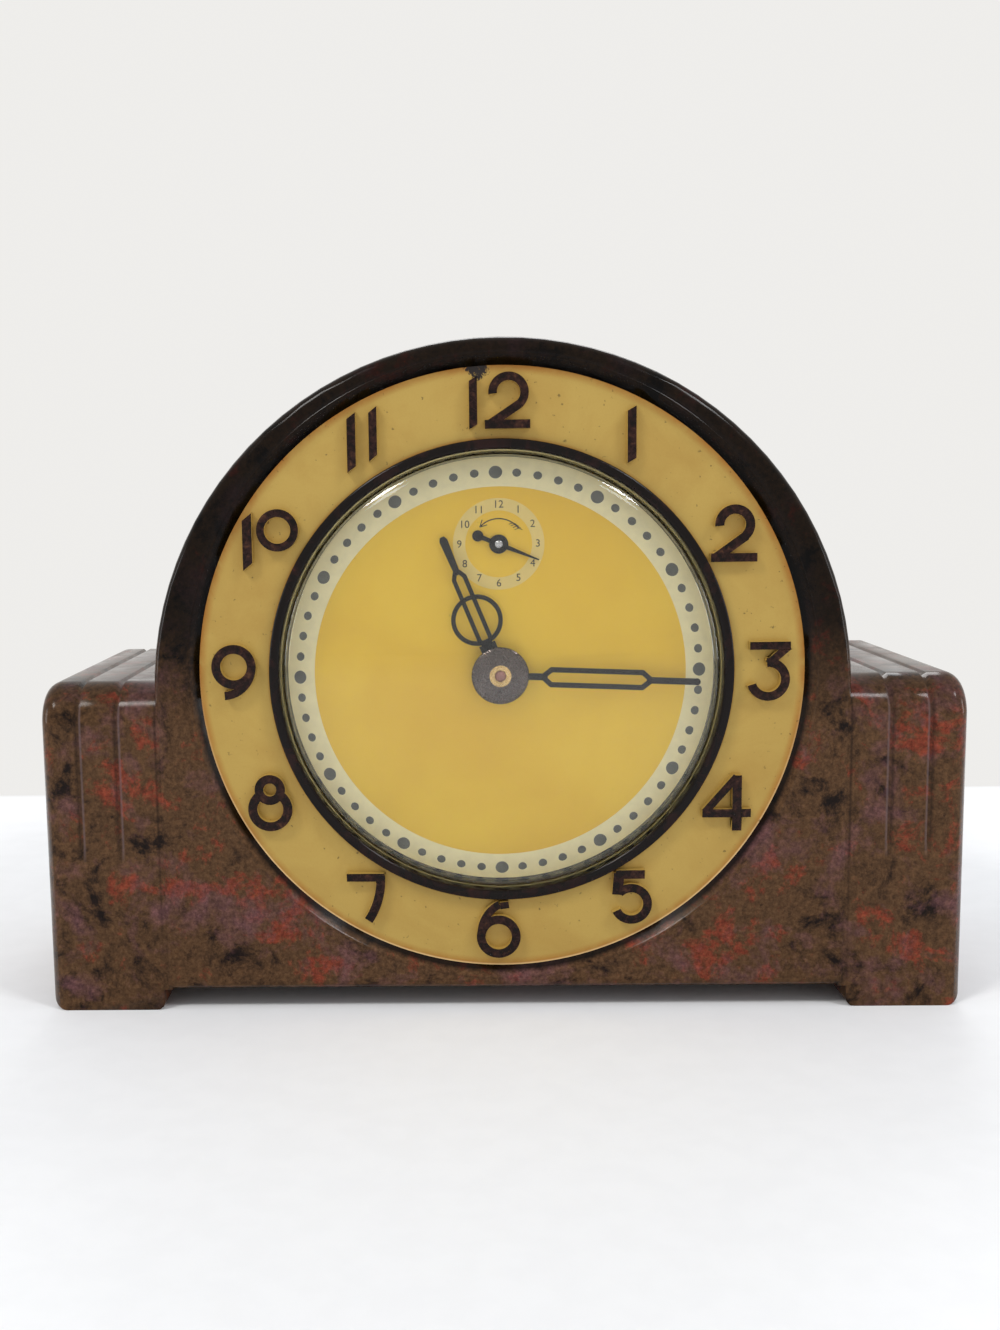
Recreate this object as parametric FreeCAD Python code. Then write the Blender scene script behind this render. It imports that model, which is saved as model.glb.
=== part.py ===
import FreeCAD, Part
import math
import os

# Wind-up alarm clock with an arched moulded case, two fluted shoulder wings,
# a round dial under a domed crystal, and a spring-driven pin-pallet movement.
# Millimetres. The clock stands on z = 0 and faces -Y, with x = 0 its middle.
# A depth is measured backwards from the front plane of the centre block.

Vector = FreeCAD.Vector
BACKWARD = Vector(0, 1, 0)

# Case moulding
case_width = 165.0
case_depth = 60.0
block_width = 123.3
arch_centre_height = 57.8
wing_height = 59.8
wing_setback = 0.5
foot_gap = 3.8
wall = 3.0
front_wall = 4.5
block_edge_round = 1.8
wing_brow_round = 7.2
wing_edge_round = 3.0
foot_inner_round = 1.5
rebate_inset = 1.5
rebate_depth = 1.6
cut_overrun = 1.0
works_sides = 8
arch_sides = 48
block_round_steps = 3
rim_sides = 48
small_rim_sides = 24
hand_boss_sides = 16

# Flutes on the wings
flute_pitch = 7.0
flute_width = 1.4
flute_depth = 0.7
flute_foot_height = 27.4
flute_point_length = 3.0

# Dial opening and figure channel in the case front
ring_centre_height = 61.2
opening_radius = 39.2
lip_outer_radius = 40.8
channel_floor_radius = 53.5
channel_rim_radius = 55.2
channel_depth = 1.6

# Crystal and the ring that clamps it
crystal_rise = 3.2
crystal_dome_radius = 287.0
crystal_thickness = 1.5
crystal_shoulder_drop = 1.3
crystal_shoulder_width = 1.2
crystal_crown_share = 0.2
crystal_waist_share = 0.65
crystal_fit = 0.3
crystal_flange_width = 2.3
crystal_ring_width = 3.2
crystal_ring_thickness = 2.1

# Dial plate
dial_radius = 43.2
dial_drop = 0.7
dial_thickness = 0.5
dial_bush_clearance = 0.8
dial_foot_radius = 0.8
dial_foot_circle_radius = 34.0
dial_foot_count = 3
dial_foot_direction = 30.0

# Hands
hand_thickness = 0.35
minute_hand_front = 2.9
minute_hand_length = 35.6
minute_neck_width = 1.5
minute_loop_start = 7.3
minute_flare_length = 1.5
minute_loop_end = 26.4
minute_loop_width = 3.6
minute_bar_width = 0.9
minute_tip_width = 1.0
minute_taper_length = 3.4
minute_boss_radius = 4.4
hub_washer_radius = 5.1
hub_washer_thickness = 0.7
hub_washer_rise = 0.5
hub_washer_crown_share = 0.7
hand_gap = 1.05
hour_hand_length = 26.7
hour_loop_start = 6.5
hour_loop_end = 19.8
hour_loop_width = 2.5
hour_bar_width = 0.85
hour_circle_place = 10.6
hour_circle_radius = 4.6
hour_base_width = 3.2
hour_tip_width = 1.2
hour_boss_radius = 4.2
alarm_hand_gap = 1.05
alarm_pointer_length = 7.7
alarm_tail_length = 4.0
alarm_boss_radius = 1.7
alarm_tail_radius = 1.0
alarm_pointer_width = 1.1
minute_hand_angle = 92.5
hour_hand_angle = 337.7
alarm_hand_angle = 112.0

# Movement plates, pillars and fasteners
under_dial_space = 5.9
plate_thickness = 1.2
plate_spacing = 17.8
front_plate_half_width = 37.2
front_plate_corner = 4.0
back_plate_half_width = 31.0
back_plate_half_height = 32.0
pillar_half_span_x = 27.0
pillar_half_span_z = 28.0
pillar_radius = 2.2
thread_radius = 1.4
thread_length = 1.9
nut_flats = 5.0
nut_sides = 6
nut_thickness = 1.7
case_boss_half_span = 33.2
case_boss_radius = 3.2
screw_head_radius = 2.8
screw_head_thickness = 1.6
screw_length = 5.0
cover_thickness = 0.8
cover_fit = 0.3
cover_boss_radius = 3.2
cover_boss_sink = 0.6

# Arbors and fits
running_fit = 0.06
pivot_radius = 0.4
end_shake = 0.3
centre_arbor_radius = 1.0
train_arbor_radius = 0.5
winding_arbor_radius = 2.0
winding_pivot_radius = 1.0
alarm_arbor_radius = 0.7
cannon_radius = 1.7
hour_pipe_radius = 2.6
stud_radius = 0.8
minute_hub_radius = 1.6
alarm_cam_radius = 2.1
cover_hole_clearance = 0.6

# Tooth forms, as shares of the module and of the tooth pitch
wheel_addendum_share = 0.9
wheel_dedendum_share = 1.2
pinion_addendum_share = 0.8
pinion_dedendum_share = 1.3
pinion_base_share = 0.5
mesh_opening = 0.3

# Motion work under the dial
motion_module = 0.6444
motion_wheel_teeth = 36
motion_pinion_teeth = 9
cannon_teeth = 9
minute_wheel_teeth = 27
minute_wheel_direction = -60.0
motion_layer = 0.9
motion_thickness = 1.0
cannon_layer = 2.7
cannon_pinion_length = 2.0
minute_wheel_thickness = 1.0

# Going train
train_wheel_thickness = 0.8
spoke_count = 4
spoke_width = 1.2
wheel_rim_width = 1.1
wheel_hub_radius = 2.3
great_module = 0.6857
great_teeth = 42
centre_pinion_teeth = 7
great_thickness = 1.2
great_direction = -35.0
centre_module = 0.4
centre_teeth = 48
small_pinion_teeth = 6
third_direction = 155.0
third_module = 0.425
third_teeth = 42
fourth_direction = 100.0
fourth_module = 0.39375
fourth_teeth = 42
escape_direction = 10.0
escape_teeth = 15
escape_tip_radius = 4.3
escape_root_radius = 3.3
centre_wheel_layer = 0.8
third_wheel_layer = 3.0
fourth_wheel_layer = 5.8
escape_wheel_layer = 8.8
pinion_overlap = 0.4
great_wheel_layer = 14.2

# Escapement and balance
escape_to_pallet_length = 6.6
pallet_direction = 15.0
pallet_arm_length = 5.4
pallet_pin_angle = 50.0
pallet_pin_radius = 0.25
pallet_arm_width = 0.9
pallet_hub_radius = 1.4
fork_arm_width = 1.8
fork_notch_width = 0.9
fork_gap = 0.6
fork_thickness = 0.8
pallet_to_balance_length = 10.0
balance_direction = 5.0
balance_radius = 8.5
balance_rim_width = 1.2
balance_thickness = 1.4
balance_spoke_width = 1.2
balance_spoke_count = 3
balance_spoke_direction = 60.0
balance_staff_radius = 0.7
balance_hub_radius = 1.7
roller_radius = 2.3
roller_thickness = 0.6
roller_pin_circle_radius = 1.8
roller_pin_radius = 0.3
roller_pin_gap = 0.3
roller_gap = 0.5
hairspring_gap = 0.9
hairspring_height = 0.5
hairspring_strip = 0.22
hairspring_turns = 4
hairspring_inner = 1.7
hairspring_outer = 6.2
hairspring_stud_radius = 0.6
hairspring_stud_direction = -60.0
spiral_sides = 11

# Regulator behind the back plate
regulator_gap = 0.3
regulator_thickness = 0.6
regulator_hub_radius = 2.6
regulator_collar_radius = 1.5
regulator_length = 12.0
regulator_width = 1.6
regulator_direction = 60.0
regulator_tab_stand = 1.6
regulator_swing = 15.0

# Mainsprings, ratchets and clicks
mainspring_gap = 0.8
mainspring_height = 8.5
mainspring_strip = 0.4
mainspring_turns = 4
time_spring_outer = 12.6
alarm_spring_outer = 10.8
mainspring_inner_gap = 0.35
ratchet_teeth = 16
ratchet_radius = 5.0
ratchet_tooth_height = 0.9
ratchet_gap = 0.4
ratchet_thickness = 0.9
click_gap = 0.2
click_circle_radius = 8.4
click_length = 5.6
click_width = 1.7
click_eye_radius = 1.5
click_pin_radius = 0.7
time_click_side = 90.0
alarm_click_side = -90.0

# Alarm train
alarm_great_module = 0.6857
alarm_great_teeth = 36
alarm_pinion_teeth = 6
alarm_winding_x = -14.8
alarm_winding_z = -12.2
alarm_escape_direction = 150.0
alarm_escape_teeth = 12
alarm_escape_tip_radius = 5.0
alarm_escape_root_radius = 3.8
alarm_escape_layer = 2.3
escape_to_verge_length = 7.6
verge_direction = 75.0
verge_arm_length = 2.5
verge_width = 1.0
hammer_gap = 1.9
hammer_arm_width = 2.0
hammer_arm_thickness = 0.8
hammer_arm_length = 23.0
hammer_direction = 78.0
hammer_head_radius = 2.4
hammer_head_length = 4.0
hammer_swing = 6.0
hammer_clearance = 0.4
gong_post_radius = 2.0
gong_post_clearance = 4.2

# Alarm release spring under the dial
release_layer = 1.5
release_thickness = 0.3
release_width = 2.6
release_spring_length = 13.0
release_post_direction = 172.0
release_post_radius = 1.2
release_gap = 0.4

# Alarm stop lever
stop_lever_x = -7.0
stop_lever_z = 29.0
stop_lever_gap = 0.4
stop_lever_thickness = 0.8
stop_lever_hub_radius = 2.4
stop_lever_stud_radius = 1.0
stop_lever_length = 9.0
stop_lever_width = 2.6
stop_lever_direction = 30.0
stop_lever_swing = 25.0
stop_tab_width = 1.8
stop_tab_stand = 4.0

# Winding keys and setting knobs behind the cover
key_stand = 1.6
key_hub_radius = 3.2
key_hub_length = 4.0
key_half_span = 10.4
key_wing_height = 13.0
key_wing_thickness = 2.0
key_wing_round = 5.2
key_wing_hole_radius = 2.4
key_wing_sides = 16
key_shank_overlap = 3.0
knob_stand = 1.6
knob_radius = 5.0
knob_length = 5.6
knob_flutes = 14
knob_flute_depth = 0.45
knob_edge = 0.6

# Depths behind the front plane, from front to back
crystal_seat = front_wall - crystal_thickness
dial_front = front_wall + crystal_ring_thickness
dial_back = dial_front + dial_thickness
front_plate_front = dial_back + under_dial_space
front_plate_back = front_plate_front + plate_thickness
back_plate_front = front_plate_back + plate_spacing
back_plate_back = back_plate_front + plate_thickness
cover_front = case_depth - rebate_depth
cover_back = cover_front + cover_thickness
key_front = cover_back + key_stand
knob_front = cover_back + knob_stand
rear_reach = key_front + key_hub_length + key_wing_height
hour_hand_front = minute_hand_front + hand_thickness + hand_gap
alarm_hand_front = hour_hand_front + hand_thickness + alarm_hand_gap
motion_front = dial_back + motion_layer
cannon_front = dial_back + cannon_layer
release_back = front_plate_front - release_layer
great_front = front_plate_back + great_wheel_layer
great_back = great_front + great_thickness
ratchet_front = great_back + ratchet_gap
escape_front = front_plate_back + escape_wheel_layer
fork_front = escape_front + train_wheel_thickness + fork_gap
roller_front = fork_front + fork_thickness + roller_gap
balance_front = roller_front + roller_thickness
hairspring_front = balance_front + balance_thickness + hairspring_gap
mainspring_front = great_front - mainspring_gap - mainspring_height

# The middle of the whole clock, keys and crystal included, is y = 0
front_y = (crystal_rise - rear_reach) / 2
block_half = block_width / 2
dial_centre_height = ring_centre_height - dial_drop


def at(x, depth, z):
    return Vector(x, front_y + depth, z)


def polar(centre, distance, degrees):
    angle = math.radians(degrees)
    return (centre[0] + distance * math.cos(angle), centre[1] + distance * math.sin(angle))


def module_for(distance, teeth, other_teeth):
    return 2 * distance / (teeth + other_teeth)


def direction_of(start, end):
    return math.degrees(math.atan2(end[1] - start[1], end[0] - start[0]))


# Arbor centres, as (x, z) in the clock's frame
def mesh_distance(module, teeth, other_teeth):
    return module * (teeth + other_teeth) / 2


CENTRE = (0, dial_centre_height)
motion_distance = mesh_distance(motion_module, motion_wheel_teeth, motion_pinion_teeth)
alarm_set_distance = mesh_distance(motion_module, motion_wheel_teeth, motion_wheel_teeth)
great_distance = mesh_distance(great_module, great_teeth, centre_pinion_teeth)
third_distance = mesh_distance(centre_module, centre_teeth, small_pinion_teeth)
fourth_distance = mesh_distance(third_module, third_teeth, small_pinion_teeth)
escape_distance = mesh_distance(fourth_module, fourth_teeth, small_pinion_teeth)
alarm_distance = mesh_distance(alarm_great_module, alarm_great_teeth, alarm_pinion_teeth)
cannon_module = module_for(motion_distance, cannon_teeth, minute_wheel_teeth)

MINUTE_STUD = polar(CENTRE, motion_distance, minute_wheel_direction)
ALARM_SET = polar(CENTRE, alarm_set_distance, 90)
TIME_WINDING = polar(CENTRE, great_distance, great_direction)
THIRD = polar(CENTRE, third_distance, third_direction)
FOURTH = polar(THIRD, fourth_distance, fourth_direction)
ESCAPE = polar(FOURTH, escape_distance, escape_direction)
PALLET = polar(ESCAPE, escape_to_pallet_length, pallet_direction)
BALANCE = polar(PALLET, pallet_to_balance_length, balance_direction)
ALARM_WINDING = (CENTRE[0] + alarm_winding_x, CENTRE[1] + alarm_winding_z)
ALARM_ESCAPE = polar(ALARM_WINDING, alarm_distance, alarm_escape_direction)
VERGE = polar(ALARM_ESCAPE, escape_to_verge_length, verge_direction)
STOP_LEVER = (CENTRE[0] + stop_lever_x, CENTRE[1] + stop_lever_z)
PILLARS = [(CENTRE[0] + sx * pillar_half_span_x, CENTRE[1] + sz * pillar_half_span_z)
           for sx in (-1, 1) for sz in (-1, 1)]
CASE_BOSSES = [(CENTRE[0] + sx * case_boss_half_span, CENTRE[1] + sz * case_boss_half_span)
               for sx in (-1, 1) for sz in (-1, 1)]
DIAL_FEET = [polar(CENTRE, dial_foot_circle_radius, dial_foot_direction + 360 * k / dial_foot_count)
             for k in range(dial_foot_count)]


# Simple solids. Hidden round sections of the works have few flat sides: a spindle lies inside
# its radius and a socket round it, so one turns freely in the other
def regular(place, radius, sides):
    return [polar(place, radius, 360 * k / sides) for k in range(sides)]


def spindle(place, front, back, radius):
    return slab(regular(place, radius, works_sides), front, back)


def socket(place, front, back, radius):
    around = radius / math.cos(math.pi / works_sides)
    return slab(regular(place, around, works_sides), front - cut_overrun, back + cut_overrun)


# A form skinned with flat faces over rows of as many corners
def skinned(rows):
    loops = [rows[0], rows[-1]]
    for near, far in zip(rows, rows[1:]):
        loops += [[near[k - 1], near[k], far[k], far[k - 1]] for k in range(len(near))]
    faces = [Part.Face(Part.makePolygon(loop + loop[:1])) for loop in loops]
    solid = Part.makeSolid(Part.makeShell(faces))
    if solid.Volume < 0:
        solid.reverse()
    return solid


# A turned form through rings of flat sides, from (radius, depth) pairs
def ringed(place, profile, sides):
    rows = []
    for radius, depth in profile:
        rows.append([at(x, depth, z) for x, z in regular(place, radius, sides)])
    return skinned(rows)


def disc(place, front, back, radius, sides):
    return slab(regular(place, radius, sides), front, back)


def tube(place, front, back, outer, inner, sides):
    bore = disc(place, front - cut_overrun, back + cut_overrun, inner, sides)
    return disc(place, front, back, outer, sides).cut(bore)


def box(x0, x1, front, back, z0, z1):
    return Part.makeBox(x1 - x0, back - front, z1 - z0, at(x0, front, z0))


def slab(points, front, back):
    corners = [at(x, front, z) for x, z in points]
    face = Part.Face(Part.makePolygon(corners + corners[:1]))
    return face.extrude(Vector(0, back - front, 0))


def bar(start, end, width, front, back):
    length = math.hypot(end[0] - start[0], end[1] - start[1])
    side_x = (start[1] - end[1]) / length * width / 2
    side_z = (end[0] - start[0]) / length * width / 2
    corners = [(start[0] + side_x, start[1] + side_z), (start[0] - side_x, start[1] - side_z),
               (end[0] - side_x, end[1] - side_z), (end[0] + side_x, end[1] + side_z)]
    return slab(corners, front, back)


def fused(shapes):
    whole = shapes[0].multiFuse(shapes[1:])
    return whole.removeSplitter()


def drilled(shape, holes, front, back):
    return shape.cut([socket(place, front, back, radius) for place, radius in holes])


# The arch in straight runs, from a height above its centre round to the same on the left
def arch_points(radius, low):
    first = math.degrees(math.asin(low / radius))
    steps = [180 * k / arch_sides for k in range(arch_sides + 1)]
    between = [angle for angle in steps if first < angle < 180 - first]
    return [polar((0, arch_centre_height), radius, angle) for angle in [first] + between + [180 - first]]


# Case outline, drawn in by an inset
def outline_points(inset):
    outer = case_width / 2 - inset
    top = wing_height - inset
    foot = block_half + inset
    left = [(-outer, top), (-outer, inset), (-foot, inset), (-foot, foot_gap + inset)]
    right = [(-x, z) for x, z in reversed(left)]
    return left + right + arch_points(block_half - inset, top - arch_centre_height)


def outline_solid(inset, front, back):
    return slab(outline_points(inset), front, back)


def block_row(inset, depth):
    half = block_half - inset
    foot = foot_gap + inset
    points = [(-half, foot), (half, foot)] + arch_points(half, 0)
    return [at(x, depth, z) for x, z in points]


def centre_block():
    rows = []
    for k in range(block_round_steps + 1):
        angle = math.pi / 2 * k / block_round_steps
        inset = block_edge_round * (1 - math.sin(angle))
        rows.append(block_row(inset, block_edge_round * (1 - math.cos(angle))))
    return skinned(rows + [block_row(0, case_depth)])


def wing():
    inner = block_half - wall / 2
    outer = case_width / 2
    solid = box(inner, outer, wing_setback, case_depth, 0, wing_height)
    beyond = case_depth + cut_overrun
    solid = solid.cut(box(inner - cut_overrun, block_half, 0, beyond, -cut_overrun, foot_gap))
    brow = [edge for edge in solid.Edges if edge.BoundBox.ZMin > wing_height - wing_edge_round
            and edge.BoundBox.YMax < front_y + wing_brow_round]
    solid = solid.makeFillet(wing_brow_round, brow)
    outside = [edge for edge in solid.Edges if edge.BoundBox.XMin > outer - wing_edge_round
               and edge.BoundBox.YMin < front_y + case_depth - wing_edge_round]
    solid = solid.makeFillet(wing_edge_round, outside)
    inside = [edge for edge in solid.Edges if edge.BoundBox.ZMax < foot_inner_round
              and edge.BoundBox.XMax < block_half + foot_inner_round
              and edge.BoundBox.YLength > case_depth / 2]
    return solid.makeFillet(foot_inner_round, inside)


# One V groove along a wing's top, over its brow and down to a point
def flute(x):
    half = flute_width / 2
    lift = cut_overrun
    wide = half * (flute_depth + lift) / flute_depth
    brow_depth = wing_setback + wing_brow_round
    brow_height = wing_height - wing_brow_round
    section = [at(x - wide, brow_depth, wing_height + lift), at(x + wide, brow_depth, wing_height + lift),
               at(x, brow_depth, wing_height - flute_depth)]
    face = Part.Face(Part.makePolygon(section + section[:1]))
    top = face.extrude(Vector(0, case_depth + cut_overrun - brow_depth, 0))
    bend = face.revolve(at(x, brow_depth, brow_height), Vector(1, 0, 0), 90)
    front = [at(x - wide, wing_setback - lift, brow_height), at(x + wide, wing_setback - lift, brow_height),
             at(x, wing_setback + flute_depth, brow_height)]
    front_face = Part.Face(Part.makePolygon(front + front[:1]))
    point_start = flute_foot_height + flute_point_length
    run = front_face.extrude(Vector(0, 0, point_start - brow_height))
    low = [corner + Vector(0, 0, point_start - brow_height) for corner in front]
    drop = flute_point_length * (flute_depth + lift) / flute_depth
    tip = at(x, wing_setback - lift, point_start - drop)
    sides = [(low[0], low[1], low[2]), (low[0], low[1], tip), (low[1], low[2], tip), (low[2], low[0], tip)]
    point = Part.Solid(Part.Shell([Part.Face(Part.makePolygon(list(side) + [side[0]])) for side in sides]))
    return [top, bend, run, point]


def flute_places():
    first = block_half + (case_width / 2 - block_half - flute_pitch) / 2
    return [side * (first + k * flute_pitch) for side in (-1, 1) for k in range(2)]


def cover_screw_places():
    reach = cover_boss_radius - cover_boss_sink
    side = case_width / 2 - wall - reach
    low = foot_gap + wall + reach
    return [(-side, low), (side, low), (0, arch_centre_height + block_half - wall - reach)]


def case():
    right = wing()
    left = right.mirror(Vector(0, 0, 0), Vector(1, 0, 0))
    body = fused([centre_block(), left, right])
    body = body.cut(outline_solid(wall, front_wall, case_depth + cut_overrun))
    ring_place = (0, ring_centre_height)
    bosses = [spindle(place, front_wall, front_plate_front, case_boss_radius) for place in CASE_BOSSES]
    places = cover_screw_places()
    cover_bosses = [spindle(place, front_wall, cover_front, cover_boss_radius) for place in places]
    body = fused([body] + bosses + cover_bosses)
    body = body.cut(outline_solid(rebate_inset, cover_front, case_depth + cut_overrun))
    body = body.cut(disc(ring_place, -cut_overrun, front_wall + cut_overrun, opening_radius, rim_sides))
    counterbore = opening_radius + crystal_flange_width
    body = body.cut(disc(ring_place, crystal_seat, front_wall + cut_overrun, counterbore, rim_sides))
    slope = (channel_rim_radius - channel_floor_radius) / channel_depth
    channel = ringed(ring_place, [(channel_rim_radius + slope * cut_overrun, -cut_overrun),
                                  (channel_floor_radius, channel_depth)], rim_sides)
    lip = disc(ring_place, -cut_overrun * 2, channel_depth + cut_overrun, lip_outer_radius, rim_sides)
    body = body.cut(channel.cut(lip))
    for x in flute_places():
        body = body.cut(flute(x))
    screw_front = front_plate_front - screw_length
    body = drilled(body, [(place, thread_radius) for place in CASE_BOSSES], screw_front + cut_overrun,
                   front_plate_front)
    return drilled(body, [(place, thread_radius) for place in cover_screw_places()],
                   cover_front - screw_length + cut_overrun, cover_front)


# Glass and dial
def crystal():
    sag = crystal_dome_radius - math.sqrt(crystal_dome_radius ** 2 - opening_radius ** 2)
    rim = opening_radius - crystal_fit
    shoulder = rim - crystal_shoulder_width
    edge = sag - crystal_rise
    inner = rim - crystal_thickness
    flange = opening_radius + crystal_flange_width - crystal_fit
    place = (0, ring_centre_height)
    inner_shoulder = shoulder - crystal_thickness / 2

    def dome(radius, lift):
        drop = crystal_dome_radius - math.sqrt(crystal_dome_radius ** 2 - radius ** 2)
        return (radius, drop - crystal_rise + lift)

    crown = shoulder * crystal_crown_share
    waist = shoulder * crystal_waist_share
    return ringed(place, [(crown, -crystal_rise), dome(waist, 0), dome(shoulder, 0),
                          (rim, edge + crystal_shoulder_drop), (rim, crystal_seat), (flange, crystal_seat),
                          (flange, front_wall), (inner, front_wall),
                          (inner, edge + crystal_shoulder_drop + crystal_thickness),
                          dome(inner_shoulder, crystal_thickness),
                          (crown, crystal_thickness - crystal_rise)], rim_sides)


def crystal_ring():
    place = (0, ring_centre_height)
    inner = opening_radius + crystal_fit
    return tube(place, front_wall, dial_front, inner + crystal_ring_width, inner, rim_sides)


def dial():
    blank = disc(CENTRE, dial_front, dial_back, dial_radius, rim_sides)
    feet = [spindle(place, dial_back, front_plate_back, dial_foot_radius) for place in DIAL_FEET]
    holes = [(CENTRE, hour_pipe_radius + dial_bush_clearance)]
    holes.append((ALARM_SET, alarm_arbor_radius + dial_bush_clearance))
    return fused([drilled(blank, holes, dial_front, dial_back)] + feet)


# Hands are drawn pointing along +x and then turned about their arbor
def pointed(shape, place, degrees):
    shape.rotate(at(place[0], 0, place[1]), BACKWARD, degrees - 90)
    return shape


def minute_hand():
    front = minute_hand_front
    back = front + hand_thickness
    x, z = CENTRE
    half = minute_loop_width / 2
    tip = minute_tip_width / 2
    shoulder = minute_loop_end
    end = shoulder + minute_taper_length
    neck = minute_neck_width / 2
    root = x + minute_loop_start
    lower = [(x, z - neck), (root, z - neck), (root + minute_flare_length, z - half),
             (x + shoulder, z - half), (x + end, z - tip), (x + minute_hand_length - tip, z - tip)]
    upper = [(along, 2 * z - across) for along, across in reversed(lower)]
    outline = lower + [(x + minute_hand_length, z)] + upper
    hand = fused([slab(outline, front, back), spindle(CENTRE, front, back, minute_boss_radius)])
    slot = half - minute_bar_width
    low = front - cut_overrun
    high = back + cut_overrun
    start = (root + minute_flare_length, z)
    stop = (x + minute_loop_end - slot, z)
    cutters = [bar(start, stop, slot * 2, low, high)]
    cutters += [disc(place, low, high, slot, works_sides) for place in (start, stop)]
    hand = hand.cut(cutters)
    hand = hand.cut(socket(CENTRE, front, back, cannon_radius))
    return pointed(hand, CENTRE, minute_hand_angle)


def hub_washer():
    front = minute_hand_front - hub_washer_thickness
    dome = ringed(CENTRE, [(hub_washer_radius * hub_washer_crown_share, front),
                           (hub_washer_radius, front + hub_washer_rise),
                           (hub_washer_radius, minute_hand_front)], small_rim_sides)
    return dome.cut(socket(CENTRE, front, minute_hand_front, cannon_radius))


def hour_hand():
    front = hour_hand_front
    back = front + hand_thickness
    x, z = CENTRE
    half = hour_loop_width / 2
    tip = hour_tip_width / 2
    base = bar(CENTRE, (x + hour_loop_start, z), hour_base_width, front, back)
    outline = [(x, z - half), (x + hour_loop_end, z - half), (x + hour_loop_end + half, z - tip),
               (x + hour_hand_length - tip, z - tip), (x + hour_hand_length, z),
               (x + hour_hand_length - tip, z + tip),
               (x + hour_loop_end + half, z + tip), (x + hour_loop_end, z + half), (x, z + half)]
    inner = hour_circle_radius - hour_bar_width
    circle = tube((x + hour_circle_place, z), front, back, hour_circle_radius, inner, small_rim_sides)
    hand = fused([slab(outline, front, back), base, spindle(CENTRE, front, back, hour_boss_radius), circle])
    slot = half - hour_bar_width
    start = (x + hour_loop_start + slot, z)
    stop = (x + hour_loop_end - slot, z)
    hand = hand.cut(bar(start, stop, slot * 2, front - cut_overrun, back + cut_overrun))
    hand = hand.cut(socket(CENTRE, front, back, hour_pipe_radius))
    return pointed(hand, CENTRE, hour_hand_angle)


def alarm_hand():
    front = alarm_hand_front
    back = front + hand_thickness
    x, z = ALARM_SET
    half = alarm_pointer_width / 2
    outline = [(x - alarm_tail_length, z - half), (x + alarm_boss_radius, z - half),
               (x + alarm_pointer_length, z), (x + alarm_boss_radius, z + half),
               (x - alarm_tail_length, z + half)]
    tail = disc((x - alarm_tail_length, z), front, back, alarm_tail_radius, hand_boss_sides)
    boss = disc(ALARM_SET, front, back, alarm_boss_radius, hand_boss_sides)
    hand = fused([slab(outline, front, back), boss, tail])
    hand = hand.cut(socket(ALARM_SET, front, back, alarm_arbor_radius))
    return pointed(hand, ALARM_SET, alarm_hand_angle)


# Toothed wheels. A phase is the direction of the middle of one tooth, in degrees.
# A wheel's teeth meet at their roots, and a pinion's leaves stand apart.
def wheel(place, teeth, module, phase, front, thickness):
    tip = module * (teeth / 2 + wheel_addendum_share)
    root = module * (teeth / 2 - wheel_dedendum_share)
    return slab(zigzag(place, teeth, tip, root, phase), front, front + thickness)


def zigzag(place, teeth, tip_radius, root_radius, phase):
    half_pitch = 180 / teeth
    radii = [tip_radius, root_radius] * teeth
    return [polar(place, radius, phase + k * half_pitch) for k, radius in enumerate(radii)]


def pinion(place, teeth, module, phase, front, back):
    tip = module * (teeth / 2 + pinion_addendum_share)
    root = module * (teeth / 2 - pinion_dedendum_share)
    half_base = pinion_base_share * 180 / teeth
    points = []
    for k in range(teeth):
        middle = phase + k * 360 / teeth
        points.append(polar(place, root, middle - half_base))
        points.append(polar(place, tip, middle))
        points.append(polar(place, root, middle + half_base))
    return slab(points, front, back)


def saw_wheel(place, teeth, tip_radius, root_radius, front, thickness):
    pitch = 360 / teeth
    points = []
    for k in range(teeth):
        points.append(polar(place, root_radius, k * pitch))
        points.append(polar(place, tip_radius, k * pitch))
    return slab(points, front, front + thickness)


# The phase that lets a second wheel's gap face a tooth of the first
def meshing_phase(first, first_teeth, first_phase, second, second_teeth):
    direction = direction_of(first, second)
    return direction + 180 - (first_phase - direction) * first_teeth / second_teeth + 180 / second_teeth


def crossings(place, root_radius, front, thickness):
    outer = root_radius - wheel_rim_width
    inner = wheel_hub_radius
    cutters = []
    for k in range(spoke_count):
        outer_lean = math.degrees(math.asin(spoke_width / 2 / outer))
        inner_lean = math.degrees(math.asin(spoke_width / 2 / inner))
        start = 360 * k / spoke_count
        stop = start + 360 / spoke_count
        points = [polar(place, inner, start + inner_lean), polar(place, outer, start + outer_lean),
                  polar(place, outer, (start + stop) / 2), polar(place, outer, stop - outer_lean),
                  polar(place, inner, stop - inner_lean)]
        cutters.append(slab(points, front - cut_overrun, front + thickness + cut_overrun))
    return cutters


def train_wheel(place, teeth, module, phase, front):
    root = module * (teeth / 2 - wheel_dedendum_share)
    blank = wheel(place, teeth, module, phase, front, train_wheel_thickness)
    return blank.cut(crossings(place, root, front, train_wheel_thickness))


def pivoted(place, radius):
    body = spindle(place, front_plate_back + end_shake, back_plate_front - end_shake, radius)
    pivots = spindle(place, front_plate_front, back_plate_back, pivot_radius)
    return [body, pivots]


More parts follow.
